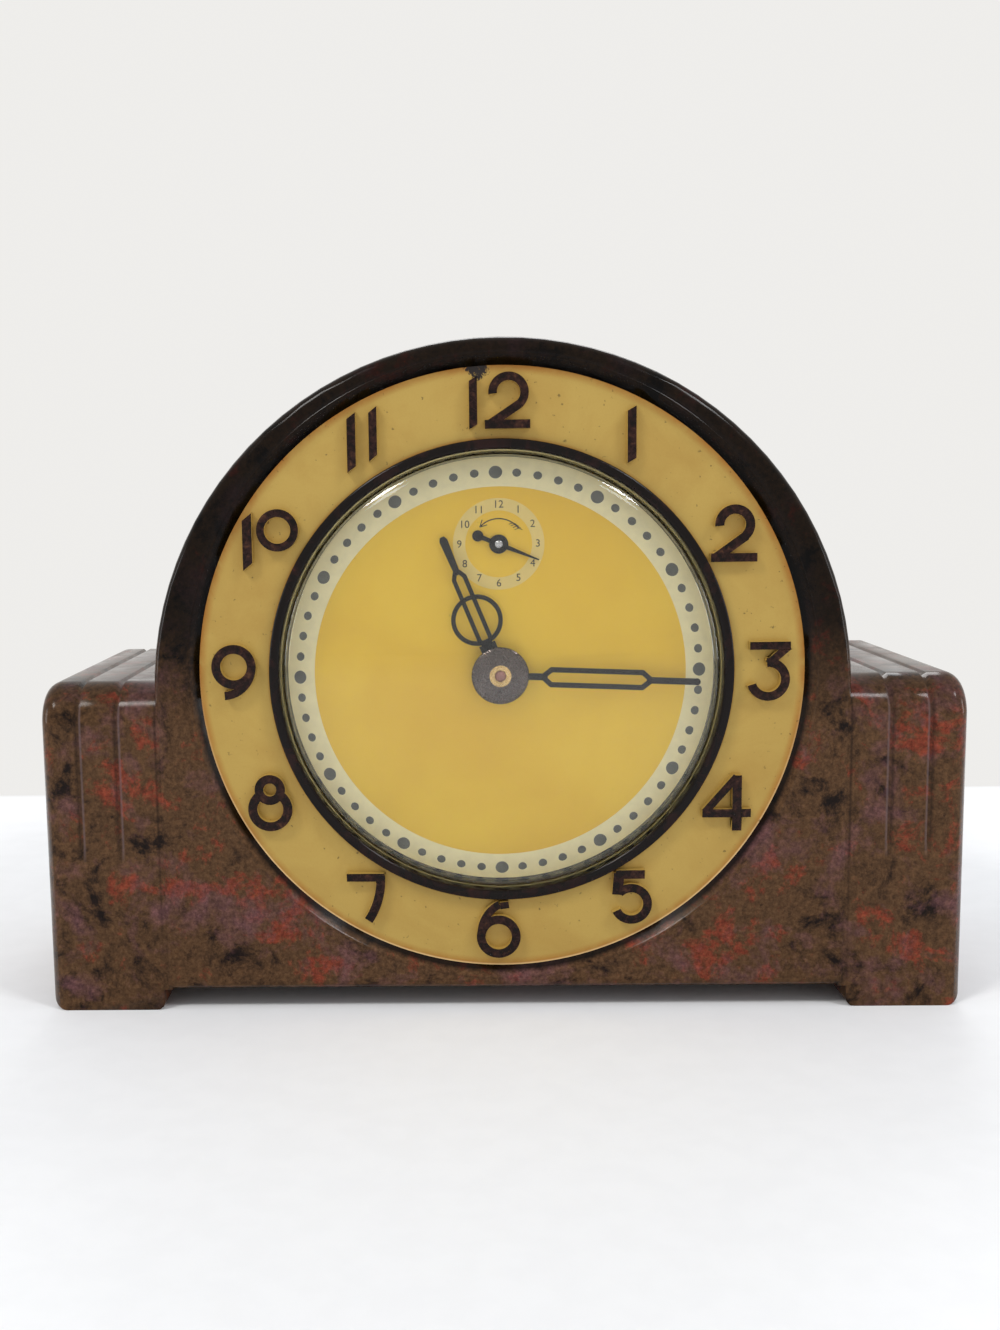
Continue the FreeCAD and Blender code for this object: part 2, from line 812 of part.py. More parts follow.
# Phases of the coupled wheels, all from the centre wheel's own
CENTRE_PHASE = 0
CANNON_PHASE = 0
MINUTE_WHEEL_PHASE = meshing_phase(CENTRE, cannon_teeth, CANNON_PHASE, MINUTE_STUD, minute_wheel_teeth)
MINUTE_PINION_PHASE = 0
HOUR_PHASE = meshing_phase(MINUTE_STUD, motion_pinion_teeth, MINUTE_PINION_PHASE, CENTRE, motion_wheel_teeth)
ALARM_PHASE = meshing_phase(CENTRE, motion_wheel_teeth, HOUR_PHASE, ALARM_SET, motion_wheel_teeth)
GREAT_PHASE = meshing_phase(CENTRE, centre_pinion_teeth, CENTRE_PHASE, TIME_WINDING, great_teeth)
THIRD_PINION_PHASE = meshing_phase(CENTRE, centre_teeth, CENTRE_PHASE, THIRD, small_pinion_teeth)
FOURTH_PINION_PHASE = meshing_phase(THIRD, third_teeth, 0, FOURTH, small_pinion_teeth)
ESCAPE_PINION_PHASE = meshing_phase(FOURTH, fourth_teeth, 0, ESCAPE, small_pinion_teeth)
ALARM_PINION_PHASE = meshing_phase(ALARM_WINDING, alarm_great_teeth, 0, ALARM_ESCAPE, alarm_pinion_teeth)


# Movement frame
def plate_holes():
    pivots = [THIRD, FOURTH, ESCAPE, PALLET, BALANCE, ALARM_ESCAPE, VERGE]
    return [(place, pivot_radius + running_fit) for place in pivots]


def front_plate():
    x, z = CENTRE
    half = front_plate_half_width
    cut = front_plate_corner
    outline = [(x - half + cut, z - half), (x + half - cut, z - half), (x + half, z - half + cut),
               (x + half, z + half - cut), (x + half - cut, z + half), (x - half + cut, z + half),
               (x - half, z + half - cut), (x - half, z - half + cut)]
    plate = slab(outline, front_plate_front, front_plate_back)
    holes = plate_holes()
    holes += [(CENTRE, centre_arbor_radius + running_fit), (ALARM_SET, alarm_arbor_radius + running_fit)]
    holes += [(place, winding_pivot_radius + running_fit) for place in (TIME_WINDING, ALARM_WINDING)]
    holes += [(place, dial_foot_radius + running_fit) for place in DIAL_FEET]
    holes += [(place, thread_radius + running_fit) for place in CASE_BOSSES]
    plate = drilled(plate, holes, front_plate_front, front_plate_back)
    stud = spindle(MINUTE_STUD, motion_front, front_plate_front, stud_radius)
    post_place = polar(ALARM_SET, release_spring_length, release_post_direction)
    post = spindle(post_place, release_back, front_plate_front, release_post_radius)
    return fused([plate, stud, post])


def back_plate():
    x, z = CENTRE
    wide = back_plate_half_width
    high = back_plate_half_height
    outline = [(x - wide, z - high), (x + wide, z - high), (x + wide, z + high), (x - wide, z + high)]
    plate = slab(outline, back_plate_front, back_plate_back)
    holes = plate_holes()
    holes += [(CENTRE, centre_arbor_radius + running_fit), (ALARM_SET, alarm_arbor_radius + running_fit)]
    holes += [(place, winding_arbor_radius + running_fit) for place in (TIME_WINDING, ALARM_WINDING)]
    holes += [(place, thread_radius) for place in PILLARS]
    plate = drilled(plate, holes, back_plate_front, back_plate_back)
    collar_back = back_plate_back + regulator_gap + regulator_thickness
    collar = drilled(spindle(BALANCE, back_plate_back, collar_back, regulator_collar_radius),
                     [(BALANCE, pivot_radius + running_fit)], back_plate_back, collar_back)
    stop_stud_back = back_plate_back + stop_lever_gap + stop_lever_thickness
    stop_stud = spindle(STOP_LEVER, back_plate_back, stop_stud_back, stop_lever_stud_radius)
    hairspring_stud = spindle(hairspring_end(), hairspring_front, back_plate_front, hairspring_stud_radius)
    return fused([plate, collar, stop_stud, hairspring_stud])


def pillars():
    posts = []
    for place in PILLARS:
        thread_back = back_plate_back + thread_length
        post = fused([spindle(place, front_plate_back, back_plate_front, pillar_radius),
                      spindle(place, back_plate_front, thread_back, thread_radius)])
        posts.append(post)
    return Part.makeCompound(posts)


def pillar_nuts():
    nuts = []
    back = back_plate_back + nut_thickness
    corner = nut_flats / 2 / math.cos(math.pi / nut_sides)
    for place in PILLARS:
        nut = slab(regular(place, corner, nut_sides), back_plate_back, back)
        nuts.append(drilled(nut, [(place, thread_radius)], back_plate_back, back))
    return Part.makeCompound(nuts)


def screws(places, head_front):
    made = []
    for place in places:
        head = spindle(place, head_front, head_front + screw_head_thickness, screw_head_radius)
        shank = spindle(place, head_front - screw_length, head_front, thread_radius)
        made.append(fused([head, shank]))
    return Part.makeCompound(made)


# Centre arbor and motion work
def centre_arbor():
    tip = minute_hand_front - hub_washer_thickness
    arbor = spindle(CENTRE, tip, knob_front + knob_length / 2, centre_arbor_radius)
    pinion_front = great_front - pinion_overlap
    pinion_back = great_back + pinion_overlap
    leaves = pinion(CENTRE, centre_pinion_teeth, great_module, CENTRE_PHASE, pinion_front, pinion_back)
    return fused([arbor, leaves])


def centre_wheel():
    front = front_plate_back + centre_wheel_layer
    blank = train_wheel(CENTRE, centre_teeth, centre_module, CENTRE_PHASE, front)
    return blank.cut(socket(CENTRE, front, front + train_wheel_thickness, centre_arbor_radius))


def cannon_pinion():
    back = cannon_front + cannon_pinion_length
    leaves = pinion(CENTRE, cannon_teeth, cannon_module, CANNON_PHASE, cannon_front, back)
    pipe = spindle(CENTRE, minute_hand_front - hub_washer_thickness, back, cannon_radius)
    return fused([leaves, pipe]).cut(socket(CENTRE, 0, back, centre_arbor_radius))


def hour_wheel():
    back = motion_front + motion_thickness
    blank = wheel(CENTRE, motion_wheel_teeth, motion_module, HOUR_PHASE, motion_front, motion_thickness)
    pipe = spindle(CENTRE, hour_hand_front, back, hour_pipe_radius)
    bore = socket(CENTRE, 0, back, cannon_radius + running_fit)
    return fused([blank, pipe]).cut(bore)


def minute_wheel():
    blank = wheel(MINUTE_STUD, minute_wheel_teeth, cannon_module, MINUTE_WHEEL_PHASE,
                  cannon_front + pinion_overlap, minute_wheel_thickness)
    leaves = pinion(MINUTE_STUD, motion_pinion_teeth, motion_module, MINUTE_PINION_PHASE,
                    motion_front, cannon_front + pinion_overlap)
    back = front_plate_front - end_shake
    hub = spindle(MINUTE_STUD, cannon_front + pinion_overlap, back, minute_hub_radius)
    whole = fused([blank, leaves, hub])
    return whole.cut(socket(MINUTE_STUD, 0, back, stud_radius + running_fit))


def alarm_wheel():
    blank = wheel(ALARM_SET, motion_wheel_teeth, motion_module, ALARM_PHASE, motion_front, motion_thickness)
    cam_back = motion_front + motion_thickness * 2
    cam = spindle(ALARM_SET, motion_front + motion_thickness, cam_back, alarm_cam_radius)
    bore = socket(ALARM_SET, 0, cam_back, alarm_arbor_radius + running_fit)
    return fused([blank, cam]).cut(bore)


def alarm_arbor():
    return spindle(ALARM_SET, alarm_hand_front, knob_front + knob_length / 2, alarm_arbor_radius)


def alarm_release_spring():
    post = polar(ALARM_SET, release_spring_length, release_post_direction)
    front = release_back - release_thickness
    end = polar(ALARM_SET, alarm_arbor_radius + release_gap, release_post_direction)
    leaf = bar(post, end, release_width, front, release_back)
    eye = spindle(post, front, release_back, release_post_radius + release_width / 4)
    return fused([leaf, eye])


# Winding sets
def winding_arbor(place):
    body = spindle(place, front_plate_back + end_shake, key_front + key_shank_overlap, winding_arbor_radius)
    pivot = spindle(place, front_plate_front, front_plate_back + end_shake, winding_pivot_radius)
    return fused([body, pivot])


def click_place(place, away):
    return polar(place, click_circle_radius, away)


def great_wheel(place, teeth, module, phase, away):
    blank = wheel(place, teeth, module, phase, great_front, great_thickness)
    blank = blank.cut(socket(place, great_front, great_back, winding_arbor_radius + running_fit))
    pin_back = ratchet_front + ratchet_thickness
    return fused([blank, spindle(click_place(place, away), great_back, pin_back, click_pin_radius)])


def ratchet_wheel(place):
    teeth = saw_wheel(place, ratchet_teeth, ratchet_radius, ratchet_radius - ratchet_tooth_height,
                      ratchet_front, ratchet_thickness)
    return teeth.cut(socket(place, ratchet_front, ratchet_front + ratchet_thickness, winding_arbor_radius))


# The click lies across the ratchet, its nose just outside the tooth tips
def click(place, away):
    pin = click_place(place, away)
    reach = ratchet_radius + click_gap
    back = ratchet_front + ratchet_thickness
    swing = math.degrees(math.acos((click_circle_radius ** 2 + click_length ** 2 - reach ** 2)
                                   / (2 * click_circle_radius * click_length)))
    nose = polar(pin, click_length, away + 180 - swing)
    root = bar_corners(pin, nose, click_width)
    body = slab([root[0], root[1], nose], ratchet_front, back)
    eye = spindle(pin, ratchet_front, back, click_eye_radius)
    return fused([body, eye]).cut(socket(pin, ratchet_front, back, click_pin_radius + running_fit))


def bar_corners(start, end, width):
    heading = direction_of(start, end)
    return [polar(start, width / 2, heading + 90), polar(start, width / 2, heading - 90)]


# A flat spiral strip, as one ribbon of straight chords
def spiral(place, inner, outer, turns, strip, front, height, start_angle):
    steps = turns * spiral_sides
    points = []
    for side in (-strip / 2, strip / 2):
        row = []
        for k in range(steps + 1):
            radius = inner + (outer - inner) * k / steps
            row.append(polar(place, radius + side, start_angle + 360 * k / spiral_sides))
        points += row if side < 0 else row[::-1]
    return slab(points, front, front + height)


def mainspring(place, outer):
    inner = winding_arbor_radius + mainspring_inner_gap + mainspring_strip / 2
    return spiral(place, inner, outer, mainspring_turns, mainspring_strip,
                  mainspring_front, mainspring_height, 0)


# Going train
def third_wheel():
    front = front_plate_back + third_wheel_layer
    leaves_front = front_plate_back + centre_wheel_layer + train_wheel_thickness + mesh_opening
    parts = pivoted(THIRD, train_arbor_radius)
    parts.append(train_wheel(THIRD, third_teeth, third_module, 0, front))
    parts.append(pinion(THIRD, small_pinion_teeth, centre_module, THIRD_PINION_PHASE, leaves_front, front))
    return fused(parts)


def fourth_wheel():
    driver = front_plate_back + third_wheel_layer
    parts = pivoted(FOURTH, train_arbor_radius)
    parts.append(train_wheel(FOURTH, fourth_teeth, fourth_module, 0, front_plate_back + fourth_wheel_layer))
    parts.append(pinion(FOURTH, small_pinion_teeth, third_module, FOURTH_PINION_PHASE,
                        driver - pinion_overlap, driver + train_wheel_thickness + pinion_overlap))
    return fused(parts)


def escape_wheel():
    parts = pivoted(ESCAPE, train_arbor_radius)
    parts.append(saw_wheel(ESCAPE, escape_teeth, escape_tip_radius, escape_root_radius, escape_front,
                           train_wheel_thickness))
    driver = front_plate_back + fourth_wheel_layer
    parts.append(pinion(ESCAPE, small_pinion_teeth, fourth_module, ESCAPE_PINION_PHASE,
                        driver - pinion_overlap, driver + train_wheel_thickness + pinion_overlap))
    return fused(parts)


def pallet_fork():
    back = fork_front + fork_thickness
    toward_wheel = direction_of(PALLET, ESCAPE)
    parts = pivoted(PALLET, train_arbor_radius)
    parts.append(spindle(PALLET, fork_front, back, pallet_hub_radius))
    for side in (-1, 1):
        leaning = toward_wheel + side * pallet_pin_angle
        pin = polar(PALLET, pallet_arm_length, leaning)
        end = polar(PALLET, pallet_arm_length + pallet_pin_radius * 2, leaning)
        parts.append(bar(PALLET, end, pallet_arm_width, fork_front, back))
        parts.append(spindle(pin, escape_front - fork_gap / 2, back, pallet_pin_radius))
    fork_length = pallet_to_balance_length - roller_pin_circle_radius - roller_pin_radius - roller_pin_gap
    fork_end = polar(PALLET, fork_length, balance_direction)
    parts.append(bar(PALLET, fork_end, fork_arm_width, fork_front, back))
    notch_start = polar(PALLET, fork_length - roller_pin_circle_radius, balance_direction)
    notch_end = polar(fork_end, cut_overrun, balance_direction)
    notch = bar(notch_start, notch_end, fork_notch_width, fork_front - cut_overrun, back + cut_overrun)
    return fused(parts).cut(notch)


def balance_wheel():
    back = balance_front + balance_thickness
    inside = balance_radius - balance_rim_width
    parts = [tube(BALANCE, balance_front, back, balance_radius, inside, small_rim_sides)]
    span = balance_radius - balance_rim_width / 2
    for k in range(balance_spoke_count):
        end = polar(BALANCE, span, balance_spoke_direction + 360 * k / balance_spoke_count)
        parts.append(bar(BALANCE, end, balance_spoke_width, balance_front, back))
    parts.append(spindle(BALANCE, roller_front, back, balance_hub_radius))
    parts.append(spindle(BALANCE, roller_front, balance_front, roller_radius))
    parts += pivoted(BALANCE, balance_staff_radius)
    pin = polar(BALANCE, roller_pin_circle_radius, balance_direction + 180)
    parts.append(spindle(pin, fork_front - roller_gap, balance_front, roller_pin_radius))
    return fused(parts)


def hairspring_end():
    stud_offset = hairspring_outer + hairspring_strip / 2 + hairspring_stud_radius
    return polar(BALANCE, stud_offset, hairspring_stud_direction)


def hairspring():
    return spiral(BALANCE, hairspring_inner, hairspring_outer, hairspring_turns, hairspring_strip,
                  hairspring_front, hairspring_height, hairspring_stud_direction)


def regulator():
    front = back_plate_back + regulator_gap
    back = front + regulator_thickness
    hub = spindle(BALANCE, front, back, regulator_hub_radius)
    end = polar(BALANCE, regulator_length, regulator_direction)
    arm = bar(BALANCE, end, regulator_width, front, back)
    tab_start = polar(BALANCE, regulator_length - regulator_thickness, regulator_direction)
    tab = bar(tab_start, end, regulator_width, front, cover_back + regulator_tab_stand)
    bore = socket(BALANCE, front, back, regulator_collar_radius + running_fit)
    return fused([hub, arm, tab]).cut(bore)


# Alarm train
def alarm_escape_wheel():
    front = front_plate_back + alarm_escape_layer
    parts = pivoted(ALARM_ESCAPE, train_arbor_radius)
    parts.append(saw_wheel(ALARM_ESCAPE, alarm_escape_teeth, alarm_escape_tip_radius,
                           alarm_escape_root_radius, front, train_wheel_thickness))
    parts.append(pinion(ALARM_ESCAPE, alarm_pinion_teeth, alarm_great_module, ALARM_PINION_PHASE,
                        great_front - pinion_overlap, great_back + pinion_overlap))
    return fused(parts)


def hammer_head_place():
    return polar(VERGE, hammer_arm_length, hammer_direction)


def gong_post_place():
    swing = math.radians(hammer_swing)
    travel = hammer_arm_length * swing
    offset = hammer_head_radius + gong_post_radius + travel + hammer_clearance
    return polar(hammer_head_place(), offset, hammer_direction - 90)


def alarm_hammer():
    arm_front = back_plate_back + thread_length + hammer_gap
    arm_back = arm_front + hammer_arm_thickness
    head_place = hammer_head_place()
    body = spindle(VERGE, front_plate_back + end_shake, back_plate_front - end_shake, train_arbor_radius)
    pivot = spindle(VERGE, front_plate_front, arm_back, pivot_radius)
    collar = spindle(VERGE, arm_front - hammer_gap / 2, arm_back, hammer_arm_width / 2)
    arm = bar(VERGE, head_place, hammer_arm_width, arm_front, arm_back)
    head_front = arm_front + hammer_arm_thickness / 2 - hammer_head_length / 2
    head = spindle(head_place, head_front, head_front + hammer_head_length, hammer_head_radius)
    pallet_front = front_plate_back + alarm_escape_layer
    toward = direction_of(VERGE, ALARM_ESCAPE)
    reach = escape_to_verge_length - alarm_escape_tip_radius - hammer_clearance
    parts = [body, pivot, collar, arm, head]
    for side in (-1, 1):
        foot = polar(VERGE, verge_arm_length, toward + side * 90)
        nib = polar(foot, reach - verge_width / 2, toward)
        parts.append(bar(VERGE, foot, verge_width, pallet_front, pallet_front + train_wheel_thickness))
        parts.append(bar(foot, nib, verge_width, pallet_front, pallet_front + train_wheel_thickness))
    return fused(parts)


def gong_post():
    return spindle(gong_post_place(), back_plate_back + gong_post_clearance, cover_front, gong_post_radius)


def alarm_stop_lever():
    front = back_plate_back + stop_lever_gap
    back = front + stop_lever_thickness
    end = polar(STOP_LEVER, stop_lever_length, stop_lever_direction)
    tab_start = polar(STOP_LEVER, stop_lever_length - stop_lever_thickness, stop_lever_direction)
    hub = spindle(STOP_LEVER, front, back, stop_lever_hub_radius)
    arm = bar(STOP_LEVER, end, stop_lever_width, front, back)
    tab = bar(tab_start, end, stop_tab_width, front, cover_back + stop_tab_stand)
    bore = socket(STOP_LEVER, front, back, stop_lever_stud_radius + running_fit)
    return fused([hub, arm, tab]).cut(bore)


# Back cover with its holes and the two curved slots
def slot_points(place, radius, width, start, stop):
    sides = 4
    lean = math.degrees(width / radius)
    angles = [start - lean + (stop - start + 2 * lean) * k / sides for k in range(sides + 1)]
    outer = [polar(place, radius + width, angle) for angle in angles]
    inner = [polar(place, radius - width, angle) for angle in reversed(angles)]
    return outer + inner


def back_cover():
    inset = rebate_inset + cover_fit
    plate = outline_solid(inset, cover_front, cover_back)
    holes = [(CENTRE, centre_arbor_radius + cover_hole_clearance),
             (ALARM_SET, alarm_arbor_radius + cover_hole_clearance)]
    holes.append((TIME_WINDING, winding_arbor_radius + cover_hole_clearance))
    holes.append((ALARM_WINDING, winding_arbor_radius + cover_hole_clearance))
    holes += [(place, thread_radius + running_fit) for place in cover_screw_places()]
    plate = drilled(plate, holes, cover_front, cover_back)
    front = cover_front - cut_overrun
    back = cover_back + cut_overrun
    middle = regulator_length - regulator_thickness / 2
    low = regulator_direction - regulator_swing
    high = regulator_direction + regulator_swing
    regulator_slot = slab(slot_points(BALANCE, middle, regulator_width, low, high), front, back)
    stop_middle = stop_lever_length - stop_lever_thickness / 2
    stop_slot = slab(slot_points(STOP_LEVER, stop_middle, stop_tab_width, stop_lever_direction,
                                 stop_lever_direction + stop_lever_swing), front, back)
    return plate.cut([regulator_slot, stop_slot])


# Keys and knobs
def upright(points, low, high):
    corners = [at(x, depth, low) for x, depth in points]
    face = Part.Face(Part.makePolygon(corners + corners[:1]))
    return face.extrude(Vector(0, 0, high - low))


def key(place):
    x, z = place
    low = z - key_wing_thickness / 2
    high = z + key_wing_thickness / 2
    hub_back = key_front + key_hub_length
    lobe_depth = hub_back + key_wing_height - key_wing_round
    lobe_x = key_half_span - key_wing_round
    waist = [(x - key_hub_radius, hub_back), (x + key_hub_radius, hub_back),
             (x + key_half_span - key_wing_round / 2, lobe_depth - key_wing_round / 2),
             (x + lobe_x, lobe_depth + key_wing_round / 2), (x - lobe_x, lobe_depth + key_wing_round / 2),
             (x - key_half_span + key_wing_round / 2, lobe_depth - key_wing_round / 2)]
    hub = spindle(place, key_front, hub_back + key_wing_thickness, key_hub_radius)
    parts = [hub, upright(waist, low, high)]
    lobes = [(x - lobe_x, lobe_depth), (x + lobe_x, lobe_depth)]
    parts += [upright(regular(lobe, key_wing_round, key_wing_sides), low, high) for lobe in lobes]
    holes = [upright(regular(lobe, key_wing_hole_radius, works_sides), low - cut_overrun, high + cut_overrun)
             for lobe in lobes]
    shank = slab(regular(place, winding_arbor_radius, works_sides), key_front - cut_overrun,
                 key_front + key_shank_overlap)
    return fused(parts).cut(holes + [shank])


def knob(place, bore_radius):
    back = knob_front + knob_length
    ridges = zigzag(place, knob_flutes, knob_radius, knob_radius - knob_flute_depth, 0)
    cap = regular(place, knob_radius - knob_edge, knob_flutes)
    whole = fused([slab(ridges, knob_front, back - knob_edge), slab(cap, back - knob_edge, back)])
    return drilled(whole, [(place, bore_radius)], knob_front, knob_front + knob_length / 2 - cut_overrun)


def build():
    return {
        "case": case(),
        "crystal": crystal(),
        "crystal_ring": crystal_ring(),
        "dial": dial(),
        "back_cover": back_cover(),
        "back_cover_screws": screws(cover_screw_places(), cover_back),
        "minute_hand": minute_hand(),
        "hub_washer": hub_washer(),
        "hour_hand": hour_hand(),
        "alarm_hand": alarm_hand(),
        "front_plate": front_plate(),
        "back_plate": back_plate(),
        "pillars": pillars(),
        "pillar_nuts": pillar_nuts(),
        "movement_screws": screws(CASE_BOSSES, front_plate_back),
        "centre_arbor": centre_arbor(),
        "centre_wheel": centre_wheel(),
        "cannon_pinion": cannon_pinion(),
        "hour_wheel": hour_wheel(),
        "minute_wheel": minute_wheel(),
        "alarm_wheel": alarm_wheel(),
        "alarm_arbor": alarm_arbor(),
        "alarm_release_spring": alarm_release_spring(),
        "time_winding_arbor": winding_arbor(TIME_WINDING),
        "time_great_wheel": great_wheel(TIME_WINDING, great_teeth, great_module, GREAT_PHASE,
                                        time_click_side),
        "time_ratchet_wheel": ratchet_wheel(TIME_WINDING),
        "time_click": click(TIME_WINDING, time_click_side),
        "time_mainspring": mainspring(TIME_WINDING, time_spring_outer),
        "alarm_winding_arbor": winding_arbor(ALARM_WINDING),
        "alarm_great_wheel": great_wheel(ALARM_WINDING, alarm_great_teeth, alarm_great_module, 0,
                                         alarm_click_side),
        "alarm_ratchet_wheel": ratchet_wheel(ALARM_WINDING),
        "alarm_click": click(ALARM_WINDING, alarm_click_side),
        "alarm_mainspring": mainspring(ALARM_WINDING, alarm_spring_outer),
        "third_wheel": third_wheel(),
        "fourth_wheel": fourth_wheel(),
        "escape_wheel": escape_wheel(),
        "pallet_fork": pallet_fork(),
        "balance_wheel": balance_wheel(),
        "hairspring": hairspring(),
        "regulator": regulator(),
        "alarm_escape_wheel": alarm_escape_wheel(),
        "alarm_hammer": alarm_hammer(),
        "gong_post": gong_post(),
        "alarm_stop_lever": alarm_stop_lever(),
        "time_key": key(TIME_WINDING),
        "alarm_key": key(ALARM_WINDING),
        "time_set_knob": knob(CENTRE, centre_arbor_radius),
        "alarm_set_knob": knob(ALARM_SET, alarm_arbor_radius),
    }


os.makedirs("parts", exist_ok=True)
for name, shape in build().items():
    shape.exportStep("parts/" + name + ".step")
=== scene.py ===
"""Looks of a wind-up alarm clock with an arched moulded case and two fluted shoulder wings.

Lengths in the tables below are millimetres: x to the right and z up from the table, seen from
the front, and depth backwards from the front plane of the case. Blender's own are metres.
"""

import math

import bmesh
import bpy
from mathutils import Matrix, Vector


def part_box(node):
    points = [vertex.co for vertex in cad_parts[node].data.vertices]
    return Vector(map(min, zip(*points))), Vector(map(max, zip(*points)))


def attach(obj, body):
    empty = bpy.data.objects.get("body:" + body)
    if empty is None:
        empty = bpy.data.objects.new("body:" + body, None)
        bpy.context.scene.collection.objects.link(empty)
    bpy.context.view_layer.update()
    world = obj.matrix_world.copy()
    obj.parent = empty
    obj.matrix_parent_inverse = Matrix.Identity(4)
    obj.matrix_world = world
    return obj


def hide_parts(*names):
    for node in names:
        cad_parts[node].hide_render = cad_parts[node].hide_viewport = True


bl_info = {
    "name": "Arched alarm clock",
    "version": (1, 0, 0),
    "blender": (4, 5, 0),
    "location": "View3D > Sidebar > Clock",
    "description": "Builds the case, dial, hands, glass, keys and studio around the packed clock",
    "category": "Object",
}

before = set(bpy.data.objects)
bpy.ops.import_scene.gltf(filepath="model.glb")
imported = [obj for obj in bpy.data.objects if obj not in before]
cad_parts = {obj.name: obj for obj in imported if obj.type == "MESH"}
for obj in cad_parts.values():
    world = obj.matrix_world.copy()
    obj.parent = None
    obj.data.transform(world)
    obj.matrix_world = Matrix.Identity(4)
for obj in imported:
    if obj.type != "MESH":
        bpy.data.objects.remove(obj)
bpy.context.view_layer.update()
MM = 0.001
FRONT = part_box("case")[0].y

# Centres: the figure channel, the hands, the alarm's small dial and the two winding keys
RING = (0.0, 61.2)
DIAL = (0.0, 60.5)
SUB_DIAL = (0.0, 83.7)
TIME_KEY = (13.764, 50.862)
ALARM_KEY = (-14.8, 48.3)

# Radii of the glass opening, its lip, the channel's floor and rim, and the hour figures' circle
OPENING_RADIUS = 39.2
LIP_RADIUS = 40.8
FLOOR_RADIUS = 53.5
RIM_RADIUS = 55.2
HOUR_CIRCLE = 47.0

# Depths of the channel's floor, the dial, the cover's outside and the keys' hubs
FLOOR_DEPTH = 1.6
DIAL_DEPTH = 6.6
COVER_BACK = 59.2
BEHIND = 60.8

# Grooves of the case, by their distance from its middle
BLOCK_HALF = 61.65
FLUTES = (68.575, 75.575)

# Radii on the two dials
DIAL_HOLE = 3.4
DIAL_EDGE = 43.2
MINUTE_BAND = (33.4, 42.9)
MINUTE_TRACK = 36.0
ALARM_BAND = (5.95, 8.15)
ALARM_CIRCLE = 7.0
ARROW_CIRCLE = 4.5

# The hands at rest, in degrees clockwise from twelve
MINUTE_AT = 92.5
HOUR_AT = 337.7
ALARM_AT = 112.0

# Keys, knobs, screws and winding arrows on the back
KEY_LOBE = 5.2
KNOB_RADIUS = 5.0
KNOB_TEETH = 30
SCREWS = ((-76.9, 9.4), (76.9, 9.4), (0, 113.85))
SCREW_RADIUS = 2.8
SCREW_END = 54.2
SLOT_HALF = 0.35
ARROW_REACH = 12.4

# Runs on the case over which its painted shade and painted highlights change, in metres along Z or
# Y
BROW_RISE = (0.052, 0.070)
BROW_DEPTH = (-0.034, -0.022)
FRONT_BAND = (-0.0385, -0.034)
FLUTE_FOOT = (0.0274, 0.0304)
SEAM_RISE = (0.008, 0.035)

# Middle of the chipped spot on the channel's gold
CHIP = (-3.6, 114.6)

# Studio, in metres and radians, with the camera's place in millimetres from the front plane
FLOOR_SIZE = 2.4
TABLE_EDGE = 0.147
LAMP_AIM = (0, 0, 0.06)
LAMPS = {
    "key_softbox": ((-0.55, -0.55, 0.85), (0.24, 0.18), 4.2, (1.0, 0.98, 0.95)),
    "fill_softbox": ((0.62, -0.50, 0.80), (0.22, 0.16), 3.2, (0.97, 0.98, 1.0)),
    "right_strip": ((0.90, -0.12, 0.14), (0.18, 0.40), 1.5, (0.95, 0.97, 1.0)),
    "left_strip": ((-0.90, -0.12, 0.14), (0.18, 0.40), 1.5, (0.95, 0.97, 1.0)),
    "back_softbox": ((0.10, 0.85, 0.75), (0.60, 0.40), 3.5, (1.0, 1.0, 1.0)),
}
CAMERA_PLACE = (-7.95, -243.86, 93.14)
CAMERA_YAW = -0.0256
CAMERA_PITCH = 0.1232
CAMERA_ROLL = 0.0151
CAMERA_SHIFT = 0.0602

